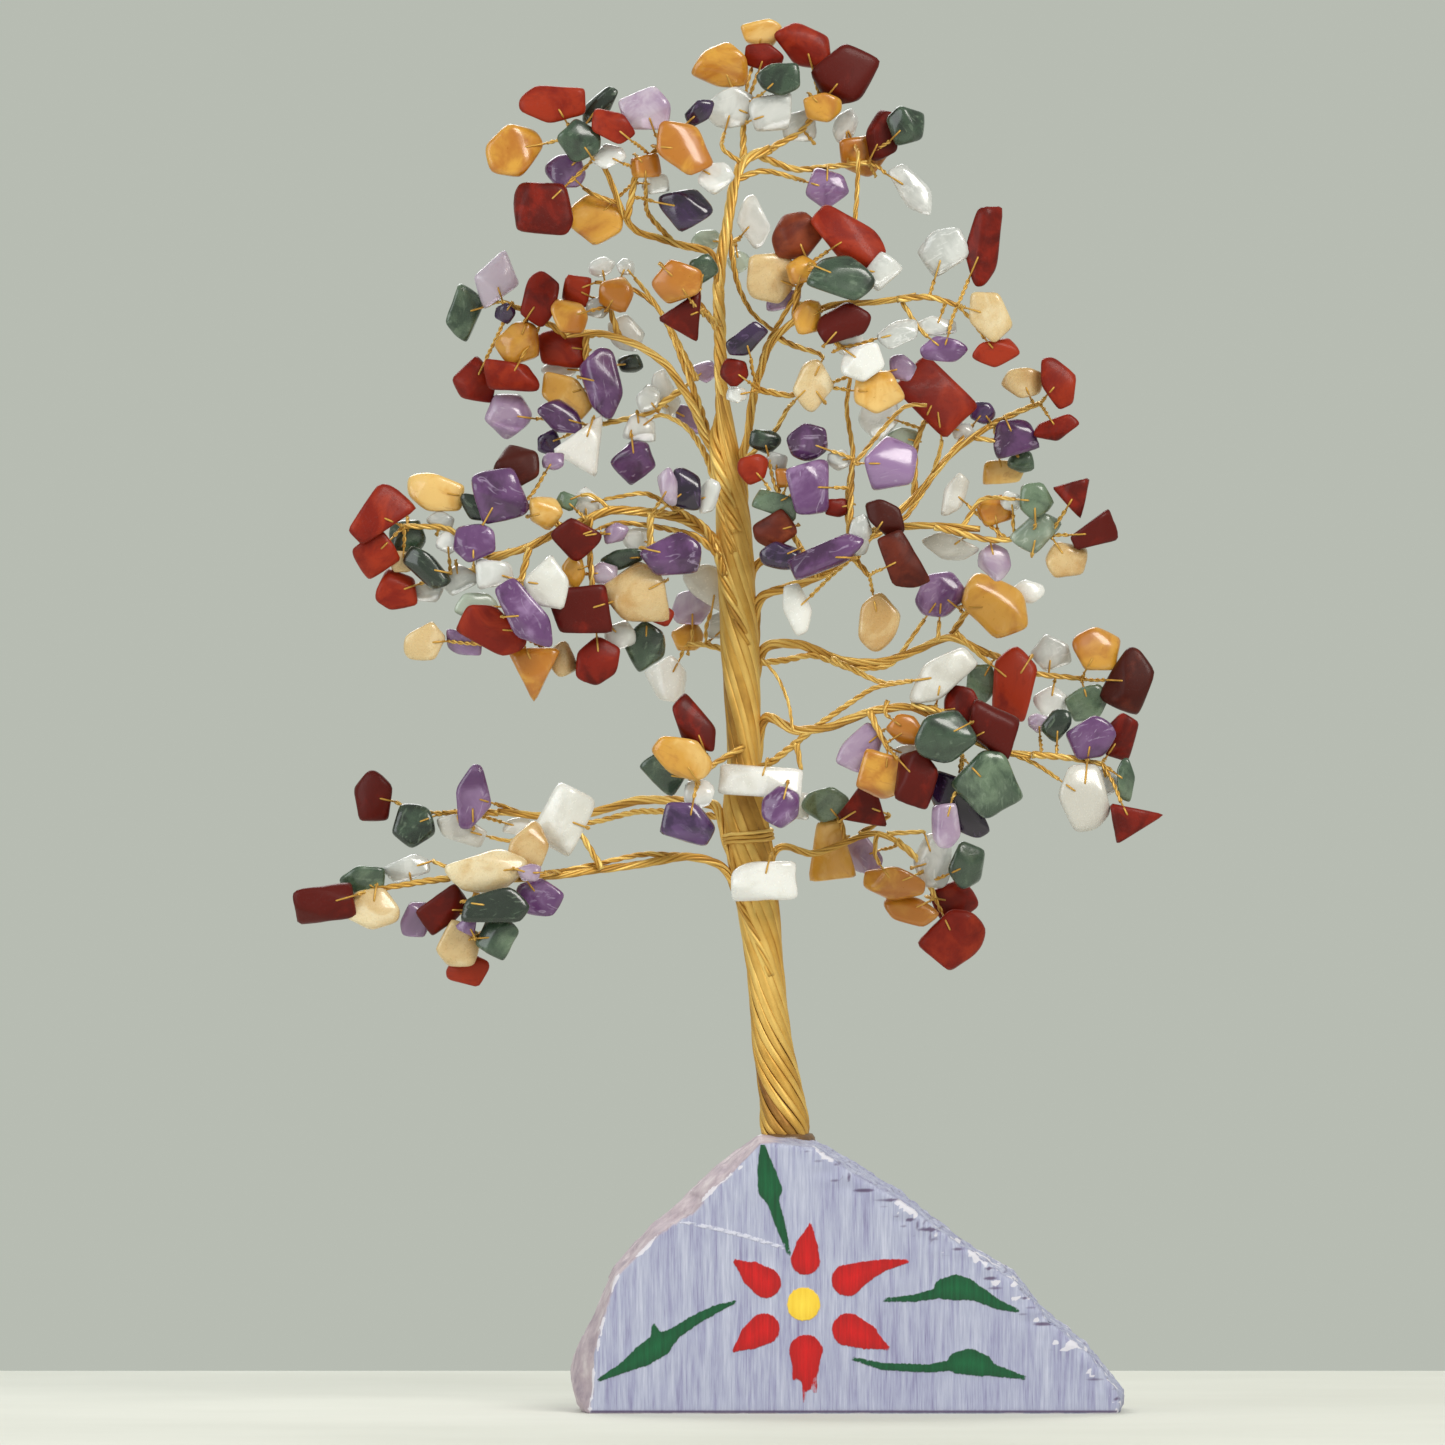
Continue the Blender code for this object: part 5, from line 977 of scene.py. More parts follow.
def add_stem(bits, start, stone, draw):
    """A twisted pair from a twig to a chip, ending just short of it, and the loop that holds the chip."""
    start = np.array((start[0], start[2], start[1]))
    edge = edge_towards(stone, start)
    run = np.linalg.norm(edge - start)
    if np.linalg.norm(start - stone.middle) < np.linalg.norm(edge - stone.middle) + SHORT_STEM:
        add_loop(bits, stone, edge)
        if run > SHORTEST_TWIST:
            route = smooth_route(np.array([start, edge]), 0.5)
            add_rope(bits, route, STEM_ROPE, 2, 2.2, draw.uniform(0, 6))
        return
    sideways = np.cross(edge - start, (0.0, 1.0, 0.0))
    middle = (start + edge) / 2 + sideways * draw.uniform(-STEM_BOW, STEM_BOW)
    route = smooth_route(np.array([start, middle, edge]), 0.45, run / 6)
    add_rope(bits, route, STEM_ROPE, 2, draw.uniform(1.5, 2.4), draw.uniform(0, 6))
    add_loop(bits, stone, edge)


# ---- materials ----


def tinted(colour):
    """A colour given as sRGB values from 0 to 255, as linear values for a shader."""
    shares = [value / 255 for value in colour]
    return tuple(c / 12.92 if c <= 0.04045 else ((c + 0.055) / 1.055) ** 2.4 for c in shares) + (1.0,)


class Nodes:
    """A material's node tree, with short calls for the nodes that these materials use."""

    def __init__(self, name):
        self.material = bpy.data.materials.new(name)
        self.material.use_nodes = True
        self.tree = self.material.node_tree
        self.shader = self.tree.nodes["Principled BSDF"]

    def link(self, output, target):
        self.tree.links.new(output, target)

    def make(self, kind, **settings):
        node = self.tree.nodes.new(kind)
        for name, value in settings.items():
            if name in node.inputs:
                node.inputs[name].default_value = value
            else:
                setattr(node, name, value)
        return node

    def fill(self, targets, givens):
        """Gives each input a socket to follow or a plain value."""
        for target, given in zip(targets, givens):
            if isinstance(given, bpy.types.NodeSocket):
                self.link(given, target)
            else:
                target.default_value = given

    def value(self, name):
        return self.make("ShaderNodeAttribute", attribute_name=name).outputs["Fac"]

    def vector(self, name):
        return self.make("ShaderNodeAttribute", attribute_name=name).outputs["Vector"]

    def stretched(self, vector, scale):
        mapping = self.make("ShaderNodeMapping")
        mapping.inputs["Scale"].default_value = scale
        self.link(vector, mapping.inputs["Vector"])
        return mapping.outputs["Vector"]

    def noise(self, vector, scale, detail=3.0, roughness=0.55, distortion=0.0):
        node = self.make("ShaderNodeTexNoise", Scale=scale, Detail=detail, Roughness=roughness,
                         Distortion=distortion)
        self.link(vector, node.inputs["Vector"])
        return node.outputs["Fac"]

    def ramp(self, value, stops, smooth=False):
        """A colour ramp: stops are (place, colour or grey)."""
        node = self.make("ShaderNodeValToRGB")
        node.color_ramp.interpolation = "EASE" if smooth else "LINEAR"
        elements = node.color_ramp.elements
        while len(elements) < len(stops):
            elements.new(0.5)
        for element, (place, colour) in zip(elements, stops):
            element.position = place
            element.color = colour if isinstance(colour, tuple) else (colour, colour, colour, 1)
        self.link(value, node.inputs["Fac"])
        return node.outputs["Color"]

    def mix(self, share, first, second):
        """Mixes two colours, each a socket or a colour, by a socket or a number."""
        node = self.make("ShaderNodeMix", data_type="RGBA")
        self.fill([node.inputs[name] for name in ("Factor", "A", "B")], (share, first, second))
        return node.outputs["Result"]

    def math(self, operation, first, second=0.5, third=0.5):
        node = self.make("ShaderNodeMath", operation=operation)
        self.fill(node.inputs, (first, second, third))
        return node.outputs["Value"]

    def bump(self, height, strength, distance):
        node = self.make("ShaderNodeBump", Strength=strength, Distance=distance)
        self.link(height, node.inputs["Height"])
        self.link(node.outputs["Normal"], self.shader.inputs["Normal"])

    def colour(self, output):
        self.link(output, self.shader.inputs["Base Color"])

    def roughness(self, output):
        self.link(output, self.shader.inputs["Roughness"])

    def set(self, **values):
        for name, value in values.items():
            self.shader.inputs[name.replace("_", " ")].default_value = value


def stone_material(kind, colours, cloud_scale, tone_swing, roughness, vein, vein_colour, clear, soft,
                   polish=0.5, pitting=0.05, ior=1.54):
    """Tumbled stone: clouds and veins in three colours, different in each chip, under a polished skin."""
    nodes = Nodes(kind)
    grain = nodes.vector("grain")
    tone = nodes.value("tone")
    clouds = nodes.noise(grain, cloud_scale, 4.0, 0.6, 0.6)
    shift = nodes.math("MULTIPLY", nodes.math("SUBTRACT", tone, 0.5), tone_swing)
    shifted = nodes.math("ADD", clouds, shift)
    dark, base, light = (tinted(colour) for colour in colours)
    colour = nodes.ramp(shifted, [(0.25, dark), (0.5, base), (0.75, light)], smooth=True)
    veins = nodes.noise(nodes.stretched(grain, (1.0, 1.0, 2.6)), cloud_scale * 1.6, 3.0, 0.5, 1.6)
    vein_share = nodes.ramp(veins, [(0.0, 0.0), (0.60, 0.0), (0.68, vein), (0.74, 0.0)])
    nodes.colour(nodes.mix(vein_share, colour, tinted(vein_colour)))
    nodes.roughness(nodes.math("MULTIPLY_ADD", nodes.noise(grain, 1.1, 4.0, 0.65), 0.14, roughness - 0.07))
    pits = nodes.noise(grain, 2.2, 5.0, 0.75)
    nodes.bump(nodes.ramp(pits, [(0.28, 0.0), (0.42, 1.0)]), pitting, 0.0002)
    nodes.set(IOR=ior, Coat_Weight=polish, Coat_Roughness=0.09, Transmission_Weight=clear)
    nodes.set(Subsurface_Weight=soft, Subsurface_Scale=0.004, Subsurface_Radius=(1.0, 0.85, 0.7))
    return nodes.material


def wire_material():
    """Gold-coloured wire: bright metal with drawn streaks and fine scratches; its darkest tone is painted
    shade between strands.
    """
    nodes = Nodes("gold_wire")
    grain = nodes.vector("grain")
    tone = nodes.value("tone")
    patches = nodes.noise(grain, 0.12, 4.0, 0.6)
    shifted = nodes.math("MULTIPLY_ADD", tone, 0.45, nodes.math("MULTIPLY", patches, 0.6))
    colour = nodes.ramp(shifted, [(0.0, tinted((66, 32, 14))), (0.16, tinted((138, 90, 36))),
                                  (0.42, tinted((206, 158, 70))), (0.75, tinted((238, 202, 116)))])
    nodes.colour(colour)
    scratches = nodes.noise(nodes.stretched(grain, (1.0, 1.0, 0.12)), 3.0, 4.0, 0.7)
    nodes.roughness(nodes.math("MULTIPLY_ADD", scratches, 0.25, 0.34))
    nodes.bump(scratches, 0.4, 0.0001)
    nodes.set(Metallic=0.5)
    return nodes.material


def paint_material():
    """The block: lavender paint brushed downwards over a pinkish ground, worn edges, and the flower."""
    nodes = Nodes("painted_clay")
    grain = nodes.vector("grain")
    streaks = nodes.noise(nodes.stretched(grain, (1.0, 1.0, 0.055)), 1.5, 6.0, 0.62)
    fine = nodes.noise(nodes.stretched(grain, (1.0, 1.0, 0.03)), 4.5, 4.0, 0.7)
    clouds = nodes.noise(grain, 0.045, 4.0, 0.55)
    broad = nodes.noise(nodes.stretched(grain, (1.0, 1.0, 0.1)), 0.32, 4.0, 0.6)
    narrow = nodes.math("ADD", nodes.math("MULTIPLY", streaks, 0.38), nodes.math("MULTIPLY", fine, 0.27))
    brushed = nodes.math("MULTIPLY_ADD", broad, 0.35, narrow)
    lavender = nodes.ramp(brushed, [(0.37, tinted((122, 114, 152))), (0.45, tinted((156, 157, 188))),
                                    (0.52, tinted((178, 182, 204))), (0.63, tinted((208, 210, 228)))])
    lavender = nodes.mix(nodes.math("MULTIPLY", clouds, 0.35), lavender, tinted((150, 150, 188)))
    bare = nodes.ramp(nodes.noise(grain, 0.16, 5.0, 0.65), [(0.3, tinted((150, 134, 150))),
                                                           (0.5, tinted((184, 166, 176))),
                                                           (0.72, tinted((214, 202, 206)))])
    ground = nodes.mix(nodes.value("bare"), lavender, bare)
    ragged = nodes.noise(grain, 0.55, 5.0, 0.7)
    worn = nodes.math("MULTIPLY_ADD", ragged, 0.9, nodes.math("SUBTRACT", nodes.value("edge"), 0.82))
    worn = nodes.ramp(worn, [(0.0, 0.0), (0.12, 0.0), (0.24, 0.8), (1.0, 0.9)])
    ground = nodes.mix(worn, ground, tinted((226, 222, 232)))
    # Hatched cuts in a dark purple, and the painted shade along the front's foot in the same colour
    cut_and_foot_shade = nodes.ramp(nodes.value("groove_and_foot_shade"), [(0.0, 0.0), (0.25, 0.0), (0.65, 0.85), (1.0, 0.95)])
    ground = nodes.mix(cut_and_foot_shade, ground, tinted((88, 70, 104)))
    edge_noise = nodes.noise(nodes.stretched(grain, (1.0, 1.0, 0.3)), 1.6, 4.0, 0.6)
    ragged_edge = nodes.math("MULTIPLY", nodes.math("SUBTRACT", edge_noise, 0.5), 0.7)
    colour, heights = ground, None
    for name, shades in PAINTS:
        distance = nodes.math("ADD", nodes.value(name), ragged_edge)
        mask = nodes.ramp(nodes.math("MULTIPLY_ADD", distance, -4.5, 0.5), [(0.0, 0.0), (1.0, 1.0)])
        thin = nodes.math("MULTIPLY_ADD", streaks, 0.7, 0.29)
        depth = nodes.math("MULTIPLY_ADD", nodes.value(name), 0.06, thin)
        dark, middle, light = (tinted(shade) for shade in shades)
        paint = nodes.ramp(depth, [(0.12, light), (0.36, middle), (0.72, dark)])
        colour = nodes.mix(mask, colour, paint)
        heights = mask if heights is None else nodes.math("MAXIMUM", heights, mask)
    nodes.colour(colour)
    dry = nodes.math("MULTIPLY_ADD", ragged, 0.2, 0.5)
    nodes.roughness(nodes.math("MULTIPLY_ADD", heights, -0.25, dry))
    relief = nodes.math("MULTIPLY_ADD", brushed, 0.6, nodes.math("MULTIPLY", heights, 0.5))
    nodes.bump(relief, 0.55, 0.0005)
    return nodes.material


def glue_material():
    """Brownish glue, a little cloudy."""
    nodes = Nodes("clear_glue")
    clouds = nodes.noise(nodes.vector("grain"), 0.6, 4.0, 0.6)
    nodes.colour(nodes.ramp(clouds, [(0.3, tinted((88, 60, 34))), (0.7, tinted((128, 94, 56)))]))
    nodes.set(Roughness=0.3)
    return nodes.material


# ---- the painted block ----


def capsule_distance(x, z, start, end, start_radius, end_radius):
    """Signed distance (mm) to the outline round two circles: one run of a brush stroke."""
    run = np.array(end, float) - np.array(start, float)
    share = np.clip(((x - start[0]) * run[0] + (z - start[1]) * run[1]) / (run @ run), 0, 1)
    radius = start_radius + (end_radius - start_radius) * share
    return np.hypot(x - start[0] - run[0] * share, z - start[1] - run[1] * share) - radius


def stroke_distance(x, z, stroke):
    """Signed distance to a brush stroke: points as (x, z, radius), joined by tapering runs."""
    runs = [capsule_distance(x, z, a[:2], b[:2], a[2], b[2]) for a, b in zip(stroke, stroke[1:])]
    if not runs:
        return np.hypot(x - stroke[0][0], z - stroke[0][1]) - stroke[0][2]
    return np.minimum.reduce(runs)


def block_shape():
    """The block without its socket, as an even fine mesh: its outlines lofted, then remeshed."""
    sections = [(BLOCK_FRONT, FACE_OUTLINE), (WIDE_FRONT, WIDE_OUTLINE), (WIDE_BACK, WIDE_OUTLINE),
                (BLOCK_BACK, BACK_OUTLINE)]
    shape = bmesh.new()
    rings = [[shape.verts.new((x * MM, y * MM, z * MM)) for x, z in outline] for y, outline in sections]
    for near, far in zip(rings, rings[1:]):
        for index in range(len(near)):
            after = (index + 1) % len(near)
            shape.faces.new((near[index], near[after], far[after], far[index]))
    shape.faces.new(rings[0])
    shape.faces.new(rings[-1])
    bmesh.ops.triangulate(shape, faces=shape.faces)
    bmesh.ops.recalc_face_normals(shape, faces=shape.faces)
    mesh = bpy.data.meshes.new("block_cage")
    shape.to_mesh(mesh)
    shape.free()
    cage = add_object("block_cage", mesh)
    remesh = cage.modifiers.new("fine", "REMESH")
    remesh.mode = "VOXEL"
    remesh.voxel_size = BLOCK_VOXEL
    graph = bpy.context.evaluated_depsgraph_get()
    fine = bpy.data.meshes.new_from_object(cage.evaluated_get(graph))
    bpy.data.objects.remove(cage)
    return fine


def mesh_arrays(mesh):
    """A mesh's vertices (mm), normals and edges."""
    points = np.empty(len(mesh.vertices) * 3)
    mesh.vertices.foreach_get("co", points)
    normals = np.empty(len(mesh.vertices) * 3)
    mesh.vertex_normals.foreach_get("vector", normals)
    edges = np.empty(len(mesh.edges) * 2, np.int32)
    mesh.edges.foreach_get("vertices", edges)
    return points.reshape(-1, 3) / MM, normals.reshape(-1, 3), edges.reshape(-1, 2)


def averaged(values, edges, rounds):
    """Values passed to their neighbours along the mesh's edges."""
    counts = np.bincount(edges.ravel(), minlength=len(values)).astype(float)
    for _ in range(rounds):
        total = np.zeros_like(values)
        np.add.at(total, edges[:, 0], values[edges[:, 1]])
        np.add.at(total, edges[:, 1], values[edges[:, 0]])
        share = total / (counts if values.ndim == 1 else counts[:, None])
        values = 0.5 * values + 0.5 * share
    return values


def noise_at(points, size, seed):
    """Smooth noise from -1 to 1 at each point."""
    shift = Vector((seed * 17.3, seed * 5.1, seed * 11.7))
    return np.array([noise.noise(Vector(point) / size + shift) for point in points])


def smooth_step(low, high, value):
    """From 0 to 1 as the value goes from low to high, easing at both ends."""
    share = np.clip((value - low) / (high - low), 0, 1)
    return share * share * (3 - 2 * share)


def block_relief(points, normals, front, rough_band, covered, coarse):
    """How far each point of the block stands out (mm): chipped slope, hewn left side, rough back, paint."""
    fine = noise_at(points * (1, 1, 0.7), 1.6, 2)
    steps = np.round(coarse * CHIP_STEPS) / CHIP_STEPS
    relief = rough_band * (0.32 * steps + 0.22 * fine)
    back = smooth_step(-0.2, 0.4, normals[:, 1])
    relief += (0.10 + 0.5 * back) * coarse + 0.05 * fine
    facets = noise_at(points, 14.0, 3)
    left = smooth_step(-16, -22, points[:, 0]) * (1 - front)
    relief += left * HEWN_DEPTH * np.round(facets * HEWN_STEPS) / HEWN_STEPS
    above_foot = points[:, 2] > FOOT_HEIGHT
    relief = np.where(above_foot, relief, 0) * (1 - 0.9 * smooth_step(1.5, 0, covered) * front)
    return relief + PAINT_THICKNESS * smooth_step(0.5, -0.8, covered) * front


def block_marks(points, normals, front, rough_band, coarse, sharpness):
    """The shares of hatching with the painted shade at the front's foot, worn edge and unpainted clay at
    each point of the block.
    """
    x, _, z = points.T
    # Fine cuts along and down the slope, in patches, and a dark line round the front's foot, which is
    # painted shade where the block meets the floor
    grooves = np.abs(np.sin(z * 1.7 + 1.7 * noise_at(points, 9.0, 5) + 0.12 * x))
    groove_share = smooth_step(-0.3, 0.15, noise_at(points * (0.5, 1, 1.4), 3.2, 6))
    uprights = np.abs(np.sin(x * 2.2 + 1.2 * noise_at(points, 6.0, 7)))
    upright_share = smooth_step(-0.2, 0.2, noise_at(points * (1, 1, 0.6), 4.0, 8))
    hatching = np.maximum(smooth_step(0.55, 0.1, grooves) * groove_share,
                          0.8 * smooth_step(0.5, 0.1, uprights) * upright_share)
    groove_and_foot_shade = rough_band * hatching * (0.5 + 0.5 * front) + 0.9 * smooth_step(1.1, 0.3, z) * front
    # Paint is worn off the sharpest edges, in patches, and knocked off spots of the lower slope
    patches = smooth_step(-0.15, 0.35, noise_at(points, 6.5, 9))
    chips_off = smooth_step(0.2, 0.45, noise_at(points * (1, 1, 1.5), 2.4, 10))
    edge = np.maximum(smooth_step(0.02, 0.12, sharpness) * patches,
                      rough_band * chips_off * smooth_step(8, 26, x))
    # The left side and the back were never painted
    unpainted = np.maximum(smooth_step(-14, -18, x + 2.5 * coarse),
                           smooth_step(0.3, 0.7, normals[:, 1] + 0.2 * coarse))
    bare = unpainted * smooth_step(0.95, 0.75, -normals[:, 1])
    return {"groove_and_foot_shade": groove_and_foot_shade, "edge": edge, "bare": bare}


def build_block():
    """The block, with its relief in the mesh and its paint as values that the material reads."""
    mesh = block_shape()
    points, normals, edges = mesh_arrays(mesh)
    x, _, z = points.T
    front = smooth_step(0.80, 0.96, -normals[:, 1])
    below_slope = np.interp(x, *zip(*FACE_OUTLINE)) - z
    rough_band = smooth_step(8, 2, below_slope) * smooth_step(-16, -4, x)
    coarse = noise_at(points * (1, 1, 1.6), 4.0, 1)
    distances = {name: np.minimum.reduce([stroke_distance(x, z, stroke) for stroke in strokes])
                 for name, strokes in PAINT_STROKES.items()}
    covered = np.minimum.reduce([distances[name] for name in THICK_PAINTS])
    relief = block_relief(points, normals, front, rough_band, covered, coarse)
    moved = points + normals * relief[:, None]
    moved[:, 2] = np.maximum(moved[:, 2], points[:, 2].min())
    bend = averaged(moved, edges, 3) - moved
    sharpness = averaged(-(bend * normals).sum(axis=1), edges, 1)
    mesh.vertices.foreach_set("co", (moved * MM).ravel())
    values = {name: distance + OFF_FRONT * (1 - front) for name, distance in distances.items()}
    values.update(block_marks(points, normals, front, rough_band, coarse, sharpness))
    for name, value in values.items():
        store_values(mesh, name, value)
    store_values(mesh, "grain", points)
    mesh.shade_smooth()
    mesh.materials.clear()
    mesh.materials.append(paint_material())
    block = add_object("painted_rock_block", mesh)
    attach(block, "root")
    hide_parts("painted_block")


def build_glue():
    """The glue that fills the socket's mouth and has crept a little up the wires."""
    bits = Bits()
    rings = []
    for step in range(GLUE_STEPS):
        angle = math.tau * step / GLUE_STEPS
        swell = 1 + 0.06 * math.sin(3 * angle + 1) + 0.04 * math.sin(5 * angle)
        east, north = swell * math.cos(angle), swell * math.sin(angle)
        rings.append([(GLUE_X + r * east, r * north, z) for r, z in GLUE_PROFILE])
    points = np.array(rings).reshape(-1, 3)
    index = np.arange(len(points)).reshape(GLUE_STEPS, -1)
    after = np.roll(index, -1, axis=0)
    bits.add(points, split_quads(index[:, :-1], after[:, :-1], after[:, 1:], index[:, 1:]))
    glue = mesh_piece("socket_glue_bead", bits, glue_material(), "root")
    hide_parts("socket_glue")


# ---- the tree ----


def build_trunk(wire):
    """Flattened wires laid round the trunk's line, over a dark core that is painted shade between them."""
    bits = Bits()
    draw = random.Random("trunk")
    middle = [row for row in TRUNK if row[1] > SOCKET_DEPTH] + MERGING
    route = smooth_route(np.array([(x, 0.0, z) for x, z, _ in middle]), 1.2, 3.0)
    radii = np.interp(route[:, 2], [z for _, z, _ in middle], [radius for _, _, radius in middle])
    rates = -np.interp(route[:, 2], *zip(*TRUNK_TURNS))
    # Darker towards the foot, with more painted shade between narrower strands
    darkening = smooth_step(*DARKENING_HEIGHTS, route[:, 2])
    add_rope(bits, route, radii, TRUNK_STRANDS, rates, sides=12, draw=draw, darkening=darkening)
    # The dark core: painted shade in the gaps between the strands
    add_wire(bits, route, radii * TRUNK_CORE, 24, GAP_SHADE_TONE)
    trunk = mesh_piece("twisted_trunk", bits, wire, "root")
    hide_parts("trunk_bundle")


def build_tie(wire):
    """A few loose turns of wire that bind the trunk."""
    bits = Bits()
    draw = random.Random("tie")
    for turn in range(TIE_STRANDS):
        points = []
        start = TIE_BOTTOM + 0.2 + turn * TIE_SPACING
        for share in np.arange(TIE_STEPS + 1) / TIE_STEPS:
            z = start + TIE_RISE * share + draw.uniform(-0.12, 0.12)
            angle = math.tau * share * TIE_TURNS + turn * 0.5
            reach = trunk_at(z, 2) + TIE_RADIUS
            points.append((trunk_at(z, 0) + reach * math.cos(angle), reach * math.sin(angle), z))
        route = smooth_route(np.array(points), 0.8, 0.5)
        add_wire(bits, route, TIE_RADIUS, 8, draw.random())
    tie = mesh_piece("binding_wires", bits, wire, "root")
    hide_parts("binding_wire")


def build_limb(name, wire, stones):
    """A limb's wires: they rise along the trunk, leave it at the root and thin out towards the tip."""
    parent, radius, points = LIMBS[name]
    draw = random.Random(name)
    rooted = as_xyz(points)
    root = rooted[0]
    if parent == "root":
        facing = math.atan2(root[1], root[0] - trunk_at(root[2], 0))
        before = []
        for drop in TRUNK_GRIPS:
            z = max(root[2] - drop, TRUNK_FOOT)
            turn = facing + TRUNK_TURN * drop
            reach = trunk_at(z, 2) * (GRIP_OUT - GRIP_SINK * drop)
            before.append((trunk_at(z, 0) + reach * math.cos(turn), reach * math.sin(turn), z))
    else:
        before = [(root[0] + 1.6, 0.0, root[2] - 9), (root[0] + 1.0, root[1] * 0.5, root[2] - 4)]
    route = smooth_route(np.vstack([before, rooted]), 0.9, 2.0)
    along = np.linspace(0, 1, len(route))
    sway = [np.sin(along * draw.uniform(14, 20) + draw.uniform(0, 6)) for _ in range(3)]
    route = route + LIMB_WOBBLE * np.column_stack(sway)
    radii = radius * (LIMB_FOOT - LIMB_TAPER * along)
    bits = Bits()
    rate = draw.choice((-1, 1)) * draw.uniform(0.25, 0.38)
    add_rope(bits, route, radii, LIMB_STRANDS, rate, sides=7, draw=draw, uneven=0.10)
    # The dark core: painted shade in the gaps between the strands
    add_wire(bits, route, radii * LIMB_CORE, 8, GAP_SHADE_TONE)
    for thickness, points in SIDE_WIRES.get(name, []):
        line = as_xyz(points)
        held = min(stones, key=lambda stone: math.dist(stone.middle[::2], line[-1, ::2]))
        if math.dist(held.middle[::2], line[-1, ::2]) < SIDE_REACH:
            line[-1] = edge_towards(held, line[-2])
            add_loop(bits, held, line[-1])
        side_route = smooth_route(line, 0.7, 1.8)
        thickness = np.linspace(thickness, min(thickness, STEM_ROPE), len(side_route))
        add_rope(bits, side_route, thickness, 3, draw.uniform(0.7, 1.0), draw.uniform(0, 6), draw=draw)
    limb = mesh_piece(name + "_wires", bits, wire)
    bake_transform(limb)
    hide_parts(name + "_limb")


def stones_of(spray, depths):
    """The chips of one spray."""
    return [Stone(own_values(row), y, f"{spray} {index}")
            for index, (row, y) in enumerate(zip(SPRAYS[spray][3], depths))]


def build_sprays(wire, wires, stones):
    """Every spray's twig, stems and chips. A body's wires are one piece, and so is each kind of chip."""
    grids = {levels: sphere_grid(levels) for levels in STONE_LEVELS}
    wire_bits, stone_bits, spray_names = {}, {}, {}
    for spray, (limb, _, _, _) in SPRAYS.items():
        body = "root" if limb == "trunk" else limb
        draw = random.Random(spray)
        route, starts = wires[spray]
        bits = wire_bits.setdefault(body, Bits())
        twig = smooth_route(as_xyz(route), 0.7, 1.5)
        radii = np.linspace(*TWIG_ROPE, len(twig))
        add_rope(bits, twig, radii, 3, 0.8, draw.uniform(0, 6), draw=draw)
        for stone, start in zip(stones[spray], starts):
            grid = grids[STONE_LEVELS[1] if stone.length >= BIG_STONE else STONE_LEVELS[0]]
            stone.add_to(stone_bits.setdefault((body, stone.kind), Bits()), grid)
            spray_names.setdefault((body, stone.kind), set()).add(spray + "_spray")
            add_stem(bits, start, stone, draw)
        spray_names.setdefault((body, None), set()).add(spray + "_spray")
    bits = wire_bits["root"]
    for name, kind, x, z, length, width, tilt, form, y in TRUNK_STONES:
        stone = Stone((kind, x, z, length, width, tilt, form), y, name)
        piece_bits = Bits()
        stone.add_to(piece_bits, grids[STONE_LEVELS[1]])
        piece = mesh_piece(name + "_chip", piece_bits, STONE_MATERIALS[kind], "root")
        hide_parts(name)
        add_stem(bits, (x + 1.5, z + width * 0.7, -trunk_at(z, 2) - 0.6), stone, random.Random(name))
    for body, bits in wire_bits.items():
        piece = mesh_piece(body + "_stems", bits, wire, body)
        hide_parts(*sorted(spray_names[body, None]))
    for (body, kind), bits in stone_bits.items():
        piece = mesh_piece(f"{body}_{kind}", bits, STONE_MATERIALS[kind], body)
        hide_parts(*sorted(spray_names[body, kind]))


# ---- the stage ----


def add_light(name, place, size, power, colour):
    """A rectangular lamp that faces the tree."""
    data = bpy.data.lights.new(name, "AREA")
    data.shape = "RECTANGLE"
    data.size, data.size_y = size
    data.energy = power
    data.color = colour
    light = add_object(name, data)
    light.location = place
    light.rotation_euler = (Vector(LIGHT_AIM) - Vector(place)).to_track_quat("-Z", "Y").to_euler()


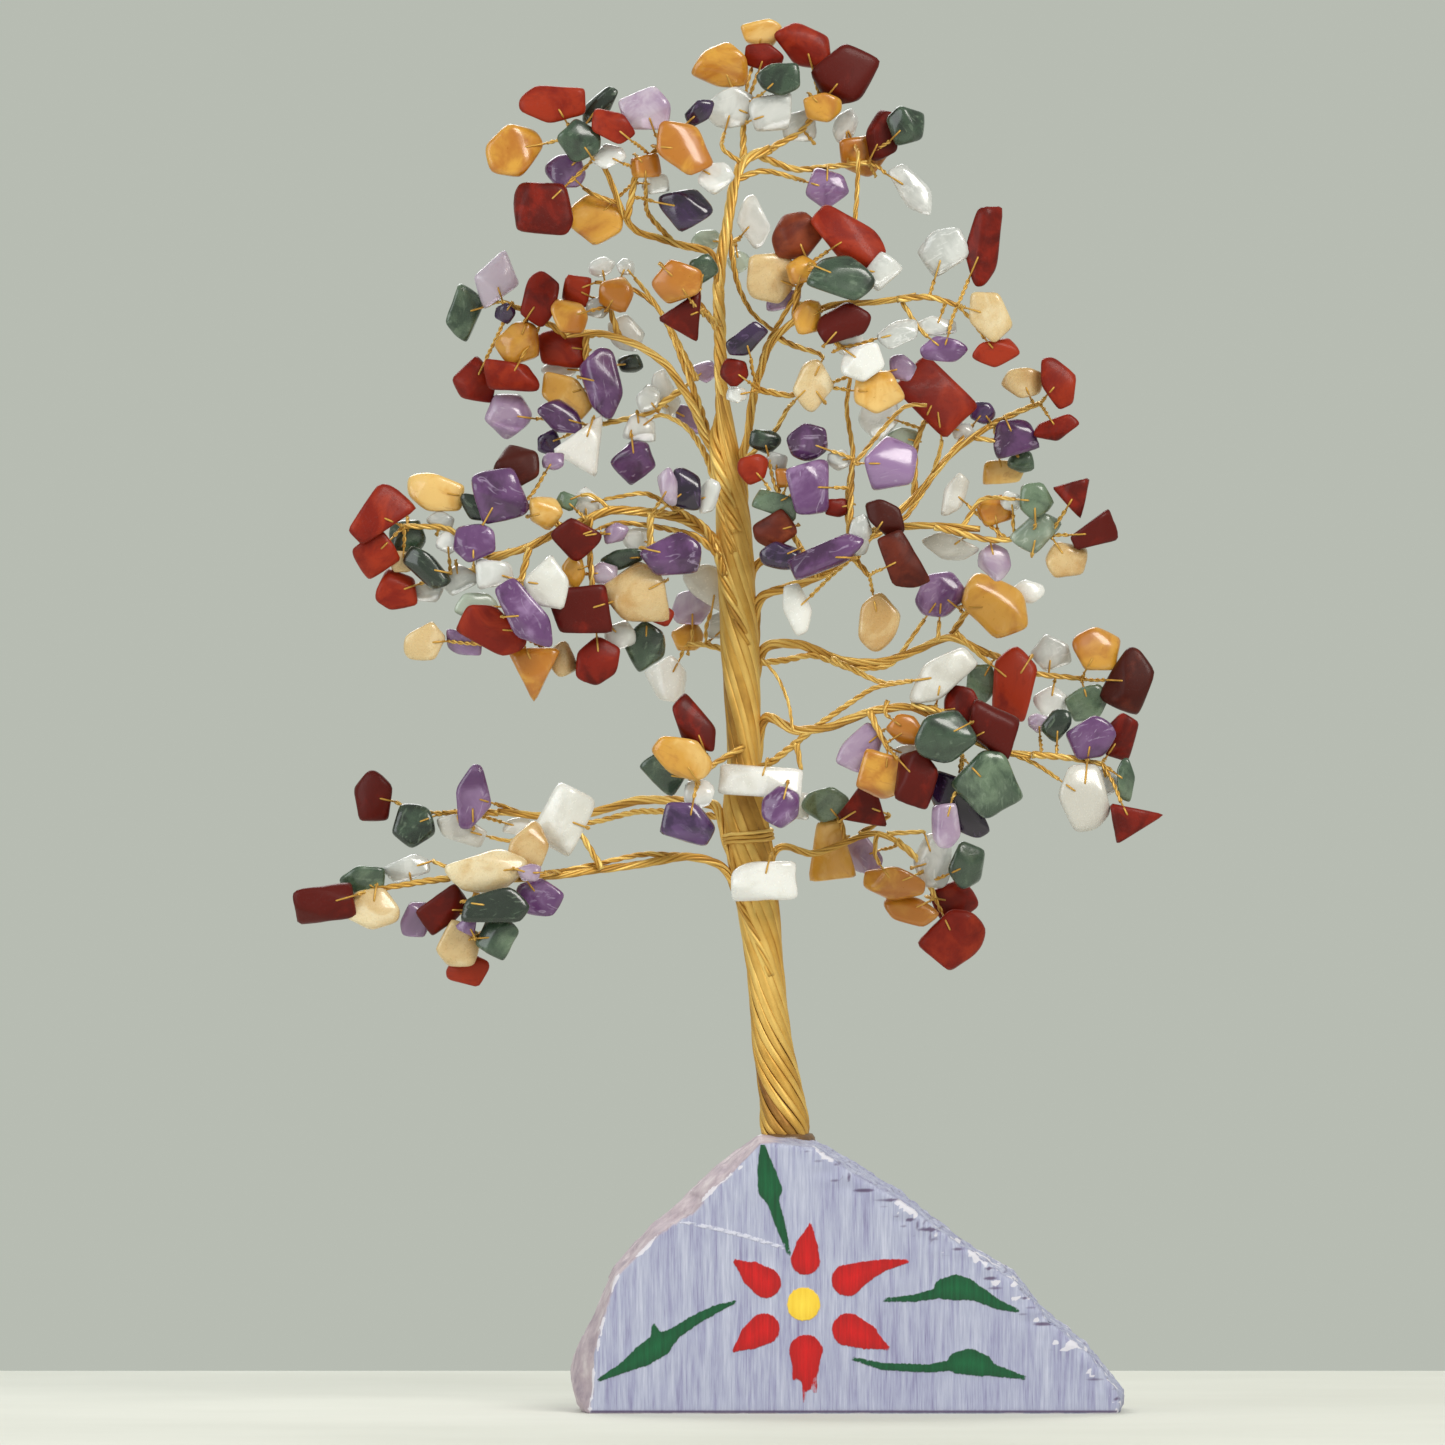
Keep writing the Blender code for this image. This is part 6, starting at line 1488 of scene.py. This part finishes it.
def build_stage():
    """A pale floor, a soft room light and three lamps."""
    bpy.ops.mesh.primitive_plane_add(size=1)
    floor = bpy.context.object
    floor.name = "floor"
    floor.scale = (FLOOR_WIDTH, FLOOR_DEPTH, 1)
    floor.location = (VIEW_X, FLOOR_BACK - FLOOR_DEPTH / 2, 0)
    nodes = Nodes("pale_floor")
    where = nodes.make("ShaderNodeTexCoord").outputs["Object"]
    cloudy = nodes.noise(where, 9.0, 6.0, 0.6)
    nodes.colour(nodes.ramp(cloudy, [(0.3, tinted((206, 206, 198))), (0.7, tinted((224, 224, 217)))]))
    nodes.set(Roughness=0.75)
    floor.data.materials.append(nodes.material)
    world = bpy.data.worlds.new("pale_room")
    world.use_nodes = True
    background = world.node_tree.nodes["Background"].inputs
    background["Color"].default_value = ROOM_COLOUR
    background["Strength"].default_value = ROOM_STRENGTH
    bpy.context.scene.world = world
    for values in LIGHTS:
        add_light(*values)


def build_camera():
    """A long lens, level with the tree's lower half, that frames the tree as it is looked at."""
    data = bpy.data.cameras.new("camera")
    data.sensor_width = SENSOR
    data.lens = SENSOR * VIEW_DISTANCE / VIEW_WIDTH
    data.clip_start, data.clip_end = 0.05, 20
    camera = add_object("camera", data)
    tilt = math.radians(VIEW_ELEVATION)
    target = Vector((VIEW_X, 0, VIEW_Z))
    camera.location = target + VIEW_DISTANCE * Vector((0, -math.cos(tilt), math.sin(tilt)))
    camera.rotation_euler = (target - camera.location).to_track_quat("-Z", "Y").to_euler()
    bpy.context.scene.camera = camera
    bpy.context.scene.view_settings.view_transform = "Standard"


STONE_MATERIALS = {kind: stone_material(kind, *values) for kind, values in STONE_LOOKS.items()}
gold = wire_material()
build_camera()
build_stage()
build_block()
build_glue()
build_trunk(gold)
build_tie(gold)
planned_depths, planned_wires = plan_tree()
chips = {spray: stones_of(spray, planned_depths[spray]) for spray in SPRAYS}
for limb_name in LIMBS:
    carried = [chip for spray in SPRAYS if SPRAYS[spray][0] == limb_name for chip in chips[spray]]
    build_limb(limb_name, gold, carried)
build_sprays(gold, planned_wires, chips)
